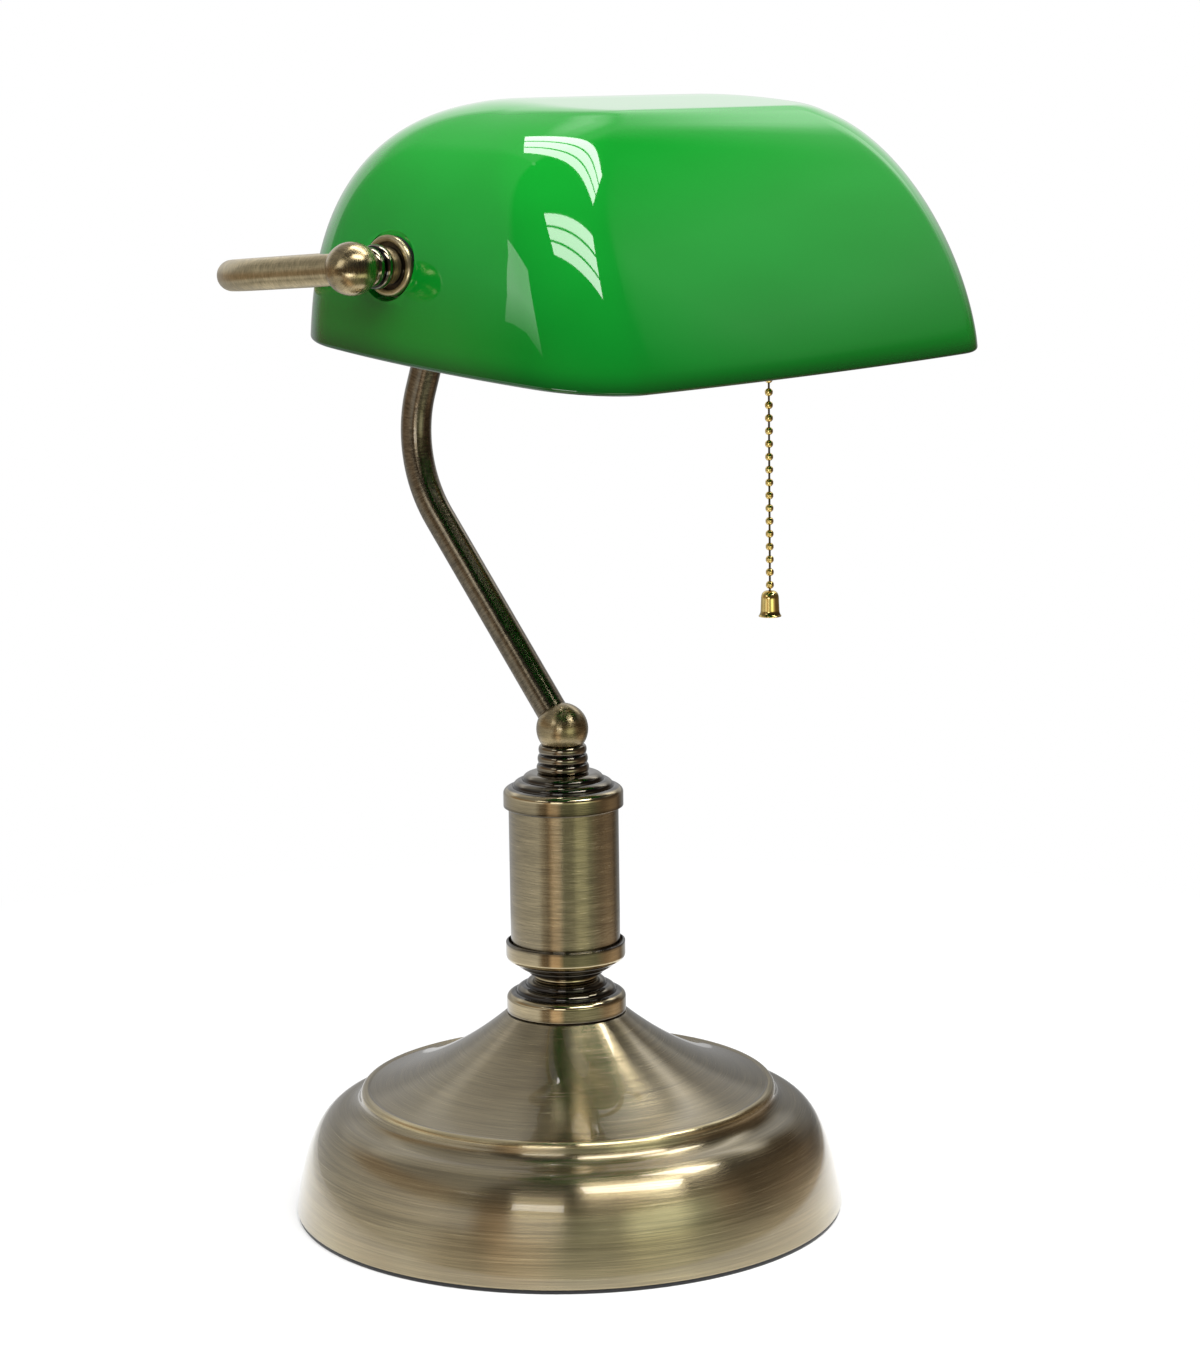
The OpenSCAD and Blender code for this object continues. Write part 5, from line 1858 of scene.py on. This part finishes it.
@dataclass(frozen=True)
class Glow:
    """A soft bright patch on the room's cloth: brightness by azimuth, and its share by elevation."""

    sides: tuple[Point, ...]
    heights: tuple[Point, ...]

    def over(self, turns: np.ndarray, rises: np.ndarray) -> np.ndarray:
        """Brightness of the patch.

        Args:
            turns: Azimuths, in degrees.
            rises: Elevations, in degrees, one row for each ring of the cloth.

        Returns:
            One value for each point of the cloth.
        """
        return np.interp(turns, *zip(*self.sides)) * np.interp(rises, *zip(*self.heights))


@dataclass
class Studio:
    """The pale floor, the white surround, the soft lights and the camera."""

    eye: Place = (-0.8442, -0.6993, 0.3640)
    look: Place = (0.7656, 0.6199, -0.1720)
    roll: float = -0.81
    lens: float = 92.65
    sensor: float = 36.0
    floor_size: float = 12.0
    floor_near: float = 0.14
    floor_far: float = 0.50
    floor_glow: float = 0.30
    paper: Point = (0.68, 0.72)
    paper_grain: float = 900.0
    surround: float = 0.45
    softboxes: tuple[Strip, ...] = (
        Strip((0.21, 0.34, 1.81), (0.75, -0.69, 1.38), width=0.42, radiance=9.0, slats=3),
        Strip((-0.64, -0.71, 1.65), (0.27, -1.15, 1.28), width=0.48, radiance=9.0, slats=3),
        Strip((-1.50, 0.22, 0.45), (-1.40, 0.12, 1.25), width=0.60, radiance=2.2),
        Strip((-1.70, -0.20, 1.44), (-0.60, -0.85, 1.44), width=1.20, radiance=3.6, shows=False),
        Strip((-0.341, -0.096, 0.21), (-0.284, -0.215, 0.21), width=0.05, radiance=4.5),
    )
    slat_share: float = 0.84
    cloth_columns: int = 181
    room_radius: float = 2.6
    room_top: float = 89.0
    room_foot: tuple[Point, ...] = ((-180.0, 36.0), (-168.0, 0.0), (80.0, 0.0), (98.0, 36.0), (180.0, 36.0))
    room_fade: float = 8.0
    room_fine: float = 0.5
    room_rows: int = 31
    room_above: tuple[float, ...] = (0.6, 0.75, 1.0)
    room_bands: tuple[Band, ...] = (
        (-180.0, 0.50, Cloth.WHITE), (-166.0, 0.30, Cloth.WHITE), (-108.0, 0.32, Cloth.WHITE),
        (-98.0, 0.05, Cloth.WHITE), (75.0, 0.05, Cloth.WHITE), (82.0, 0.40, Cloth.WHITE),
        (98.0, 0.50, Cloth.WHITE), (180.0, 0.50, Cloth.WHITE),
    )
    glows: tuple[Glow, ...] = (
        Glow(((44, 0), (52, 0.30), (80, 0.30), (90, 0)), ((13, 0), (15, 1), (34, 0.85), (44, 0))),
        Glow(((81, 0), (85, 1.20), (110, 1.10), (120, 0)), ((20, 0), (28, 1), (42, 1), (47, 0))),
        Glow(
            ((90, 0), (97, 0.45), (104, 0.55), (108, 0.80), (115, 0.60), (121, 0)),
            ((48, 0), (54, 1), (65, 1), (72, 0)),
        ),
    )
    screen_radius: float = 0.40
    apron: Point = (0.17, 0.23)
    apron_gap: float = 0.04
    apron_height: float = 0.002
    apron_gain: float = 1.9
    screen_low: Hanging = Hanging((0.002, 0.06), (
        (-180.0, 0.42, Cloth.WHITE), (-130.0, 0.42, Cloth.WHITE), (-106.0, 0.42, Cloth.WHITE),
        (-95.0, 0.13, Cloth.BROWN), (-84.0, 0.11, Cloth.BROWN), (-76.0, 0.48, Cloth.BROWN),
        (-64.0, 0.44, Cloth.BROWN), (-54.0, 0.12, Cloth.OLIVE), (-36.0, 0.13, Cloth.OLIVE),
        (-22.0, 0.17, Cloth.OLIVE), (-8.0, 0.15, Cloth.OLIVE), (8.0, 0.12, Cloth.OLIVE),
        (30.0, 0.16, Cloth.BROWN), (50.0, 0.26, Cloth.BROWN), (66.0, 0.22, Cloth.BROWN),
        (78.0, 0.11, Cloth.BROWN), (96.0, 0.18, Cloth.WHITE), (130.0, 0.36, Cloth.WHITE),
        (180.0, 0.42, Cloth.WHITE),
    ))
    screen_high: Hanging = Hanging((0.10, 0.16), (
        (-180.0, 0.40, Cloth.WHITE), (-140.0, 0.62, Cloth.WHITE), (-102.0, 0.95, Cloth.WHITE),
        (-92.0, 0.90, Cloth.WHITE), (-85.0, 0.50, Cloth.BROWN), (-77.0, 0.62, Cloth.BROWN),
        (-69.0, 0.85, Cloth.WHITE), (-58.0, 0.80, Cloth.WHITE), (-49.0, 0.46, Cloth.OLIVE),
        (-32.0, 0.60, Cloth.OLIVE), (-24.0, 1.80, Cloth.OLIVE), (-8.0, 1.80, Cloth.OLIVE),
        (2.0, 0.70, Cloth.OLIVE), (15.0, 0.40, Cloth.BROWN), (28.0, 0.12, Cloth.BROWN),
        (70.0, 0.12, Cloth.BROWN), (92.0, 0.22, Cloth.WHITE), (180.0, 0.40, Cloth.WHITE),
    ))
    screen_top: Hanging = Hanging((0.20, 0.30, 0.40), (
        (-180.0, 0.50, Cloth.WHITE), (-160.0, 0.34, Cloth.BROWN), (-110.0, 0.32, Cloth.BROWN),
        (-95.0, 0.09, Cloth.BROWN), (80.0, 0.08, Cloth.BROWN), (100.0, 0.45, Cloth.WHITE),
        (180.0, 0.50, Cloth.WHITE),
    ))

    def build(self) -> None:
        """Sets up everything around the lamp."""
        bpy.context.scene.view_settings.view_transform = "Standard"
        self._camera()
        self._surround()
        self._floor()
        low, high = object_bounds()
        target = (low + high) / 2
        for number, strip in enumerate(self.softboxes):
            self._softbox(f"softbox_{number}", strip, target)
        self._screen()
        self._room()

    def _camera(self) -> None:
        """Puts the camera at the photograph's view."""
        data = bpy.data.cameras.new("camera")
        data.lens, data.sensor_width = self.lens, self.sensor
        made = bpy.data.objects.new("camera", data)
        turn = Vector(self.look).to_track_quat("-Z", "Y").to_matrix().to_4x4()
        turn = turn @ Matrix.Rotation(math.radians(self.roll), 4, "Z")
        made.matrix_world = Matrix.Translation(self.eye) @ turn
        bpy.context.scene.collection.objects.link(made)
        bpy.context.scene.camera = made

    def _seen(self, tree: bpy.types.NodeTree) -> bpy.types.NodeSocket:
        """One for rays that show the surround: from the camera, off gloss and through glass.

        Args:
            tree: Node tree that the test goes into.

        Returns:
            The value.
        """
        path = tree.nodes.new("ShaderNodeLightPath")
        total = path.outputs["Is Camera Ray"]
        for name in ("Is Glossy Ray", "Is Transmission Ray"):
            node = tree.nodes.new("ShaderNodeMath")
            node.operation = "MAXIMUM"
            tree.links.new(total, node.inputs[0])
            tree.links.new(path.outputs[name], node.inputs[1])
            total = node.outputs["Value"]
        return total

    def _surround(self) -> None:
        """A white surround that lights the lamp at a lower level than it shows."""
        world = bpy.data.worlds.new("white_surround")
        world.use_nodes = True
        tree = world.node_tree
        tree.nodes.clear()
        shown, light = (tree.nodes.new("ShaderNodeBackground") for _ in range(2))
        for node, strength in ((shown, 1.0), (light, self.surround)):
            node.inputs["Color"].default_value = (1, 1, 1, 1)
            node.inputs["Strength"].default_value = strength
        mix = tree.nodes.new("ShaderNodeMixShader")
        output = tree.nodes.new("ShaderNodeOutputWorld")
        tree.links.new(self._seen(tree), mix.inputs["Fac"])
        tree.links.new(light.outputs["Background"], mix.inputs[1])
        tree.links.new(shown.outputs["Background"], mix.inputs[2])
        tree.links.new(mix.outputs["Shader"], output.inputs["Surface"])
        bpy.context.scene.world = world

    def _floor(self) -> None:
        """A plain pale floor that keeps the lamp's shadow."""
        half = self.floor_size / 2
        corners = np.array([(-half, -half, 0), (half, -half, 0), (half, half, 0), (-half, half, 0)])
        made = mesh_object("pale_floor", corners, [(0, 1, 2, 3)])
        sheet = NodeSheet("pale_floor_paper")
        speckle = sheet.noise(sheet.place(), scale=self.paper_grain, detail=2.0)
        away = sheet.add("ShaderNodeVectorMath", operation="LENGTH")
        sheet.link(sheet.place(), away.inputs[0])
        near = sheet.fit(away.outputs["Value"], (self.floor_near, self.floor_far), (1.0, 0.0))
        paper = sheet.ramp(speckle, [(place, (grey, grey, grey)) for place, grey in enumerate(self.paper)])
        sheet.colour(sheet.mix(near, (0.0, 0.0, 0.0), paper))
        sheet.set(Roughness=0.9, Specular_IOR_Level=0.0, Emission_Color=(1, 1, 1, 1))
        bright = sheet.fit(near, (0.0, 1.0), (1.0, self.floor_glow))
        glow = sheet.sums("MULTIPLY", self._seen(sheet.tree), bright)
        sheet.link(glow, sheet.shader.inputs["Emission Strength"])
        made.data.materials.append(sheet.material)
        made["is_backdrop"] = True

    def _softbox(self, name: str, strip: Strip, target: Vector) -> None:
        """One soft light.

        Args:
            name: Its name.
            strip: Its size, place and brightness.
            target: Point that it faces.
        """
        step = strip.width / strip.slats
        wide = step * (self.slat_share if strip.slats > 1 else 1.0)
        for k in range(strip.slats):
            data = bpy.data.lights.new(f"{name}_{k}", "AREA")
            data.shape, data.size, data.size_y = "RECTANGLE", strip.length, wide
            data.energy = strip.radiance * math.pi * strip.length * wide
            made = bpy.data.objects.new(data.name, data)
            shift = Matrix.Translation((0, (k + 0.5) * step - strip.width / 2, 0))
            made.matrix_world = strip.placing(target) @ shift
            made.visible_glossy, made.visible_camera = strip.shows, False
            bpy.context.scene.collection.objects.link(made)

    def _screen(self) -> None:
        """A low round screen of light and dark cloths, with an apron on the floor, for the brass to show."""
        turns = np.linspace(-180.0, 180.0, self.cloth_columns)
        a = np.radians(turns)
        ring = np.stack([np.sin(a), -np.cos(a)], axis=1)
        inner, dense = self.apron
        edges = ((inner, 0.0), (dense, 1.0), (self.screen_radius - self.apron_gap, 1.0))
        apron = self.apron_gain * band_colours(self.screen_low.bands, turns)
        rows = [(radius, self.apron_height, cover, apron) for radius, cover in edges]
        for hanging in (self.screen_low, self.screen_high, self.screen_top):
            colours = band_colours(hanging.bands, turns)
            rows += [(self.screen_radius, z, 1.0, colours) for z in hanging.heights]
        grid = np.array([[(x * r, y * r, z) for x, y in ring] for r, z, _, _ in rows])
        level = np.array([colours for _, _, _, colours in rows])
        veil = np.repeat([[v] for _, _, v, _ in rows], len(turns), axis=1)
        veil[-1] = 0.0
        self._cloth("folding_screen", grid, level, veil)

    def _room(self) -> None:
        """The room: dark on the camera's side and overhead, with a paler ceiling beyond and soft glows."""
        turns = np.linspace(-180.0, 180.0, self.cloth_columns)
        foot = np.interp(turns, *zip(*self.room_foot))
        shares = np.concatenate([np.linspace(0, self.room_fine, self.room_rows), self.room_above])
        rises = foot + np.outer(shares, self.room_top - foot)
        a, e = np.radians(np.broadcast_to(turns, rises.shape)), np.radians(rises)
        grid = np.stack([np.sin(a) * np.cos(e), -np.cos(a) * np.cos(e), np.sin(e)], axis=2) * self.room_radius
        veil = np.clip((rises - foot) / self.room_fade, 0, 1)
        glow = sum(patch.over(turns, rises) for patch in self.glows)
        self._cloth("dark_room", grid, band_colours(self.room_bands, turns) + glow[:, :, None], veil)

    def _cloth(self, name: str, grid: np.ndarray, level: np.ndarray, veil: np.ndarray) -> None:
        """A cloth that only the metal's and the glass's gloss shows.

        Args:
            name: Its name.
            grid: Its points, in rows.
            level: Colour and brightness of each point.
            veil: How dense each point is, from 0 to 1.
        """
        rows, cols = veil.shape
        faces = [
            (i * cols + j, i * cols + j + 1, (i + 1) * cols + j + 1, (i + 1) * cols + j)
            for i in range(rows - 1) for j in range(cols - 1)
        ]
        made = mesh_object(name, grid.reshape(-1, 3), faces)
        add_values(made, LEVEL, level.reshape(-1, 3))
        add_values(made, VEIL, veil.ravel())
        sheet = NodeSheet(f"{name}_cloth")
        sheet.link(sheet.attribute(LEVEL, "Color"), sheet.shader.inputs["Emission Color"])
        sheet.link(sheet.attribute(VEIL), sheet.shader.inputs["Alpha"])
        sheet.set(Base_Color=(0, 0, 0, 1), Roughness=1.0, Specular_IOR_Level=0.0, Emission_Strength=1.0)
        made.data.materials.append(sheet.material)
        made.visible_camera = made.visible_diffuse = made.visible_shadow = made.visible_transmission = False
        made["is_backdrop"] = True


def main() -> None:
    """Builds the lamp's sub-assemblies in order, then the studio."""
    logging.basicConfig(level=logging.INFO, format="%(name)s: %(message)s")
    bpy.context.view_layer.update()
    for assembly in (Base(), Stem(), ArmAndYoke(), Knobs(), GlassShade(), LampHolder(), PullChain()):
        assembly.build()
    Studio().build()


if __name__ == "__main__":
    main()
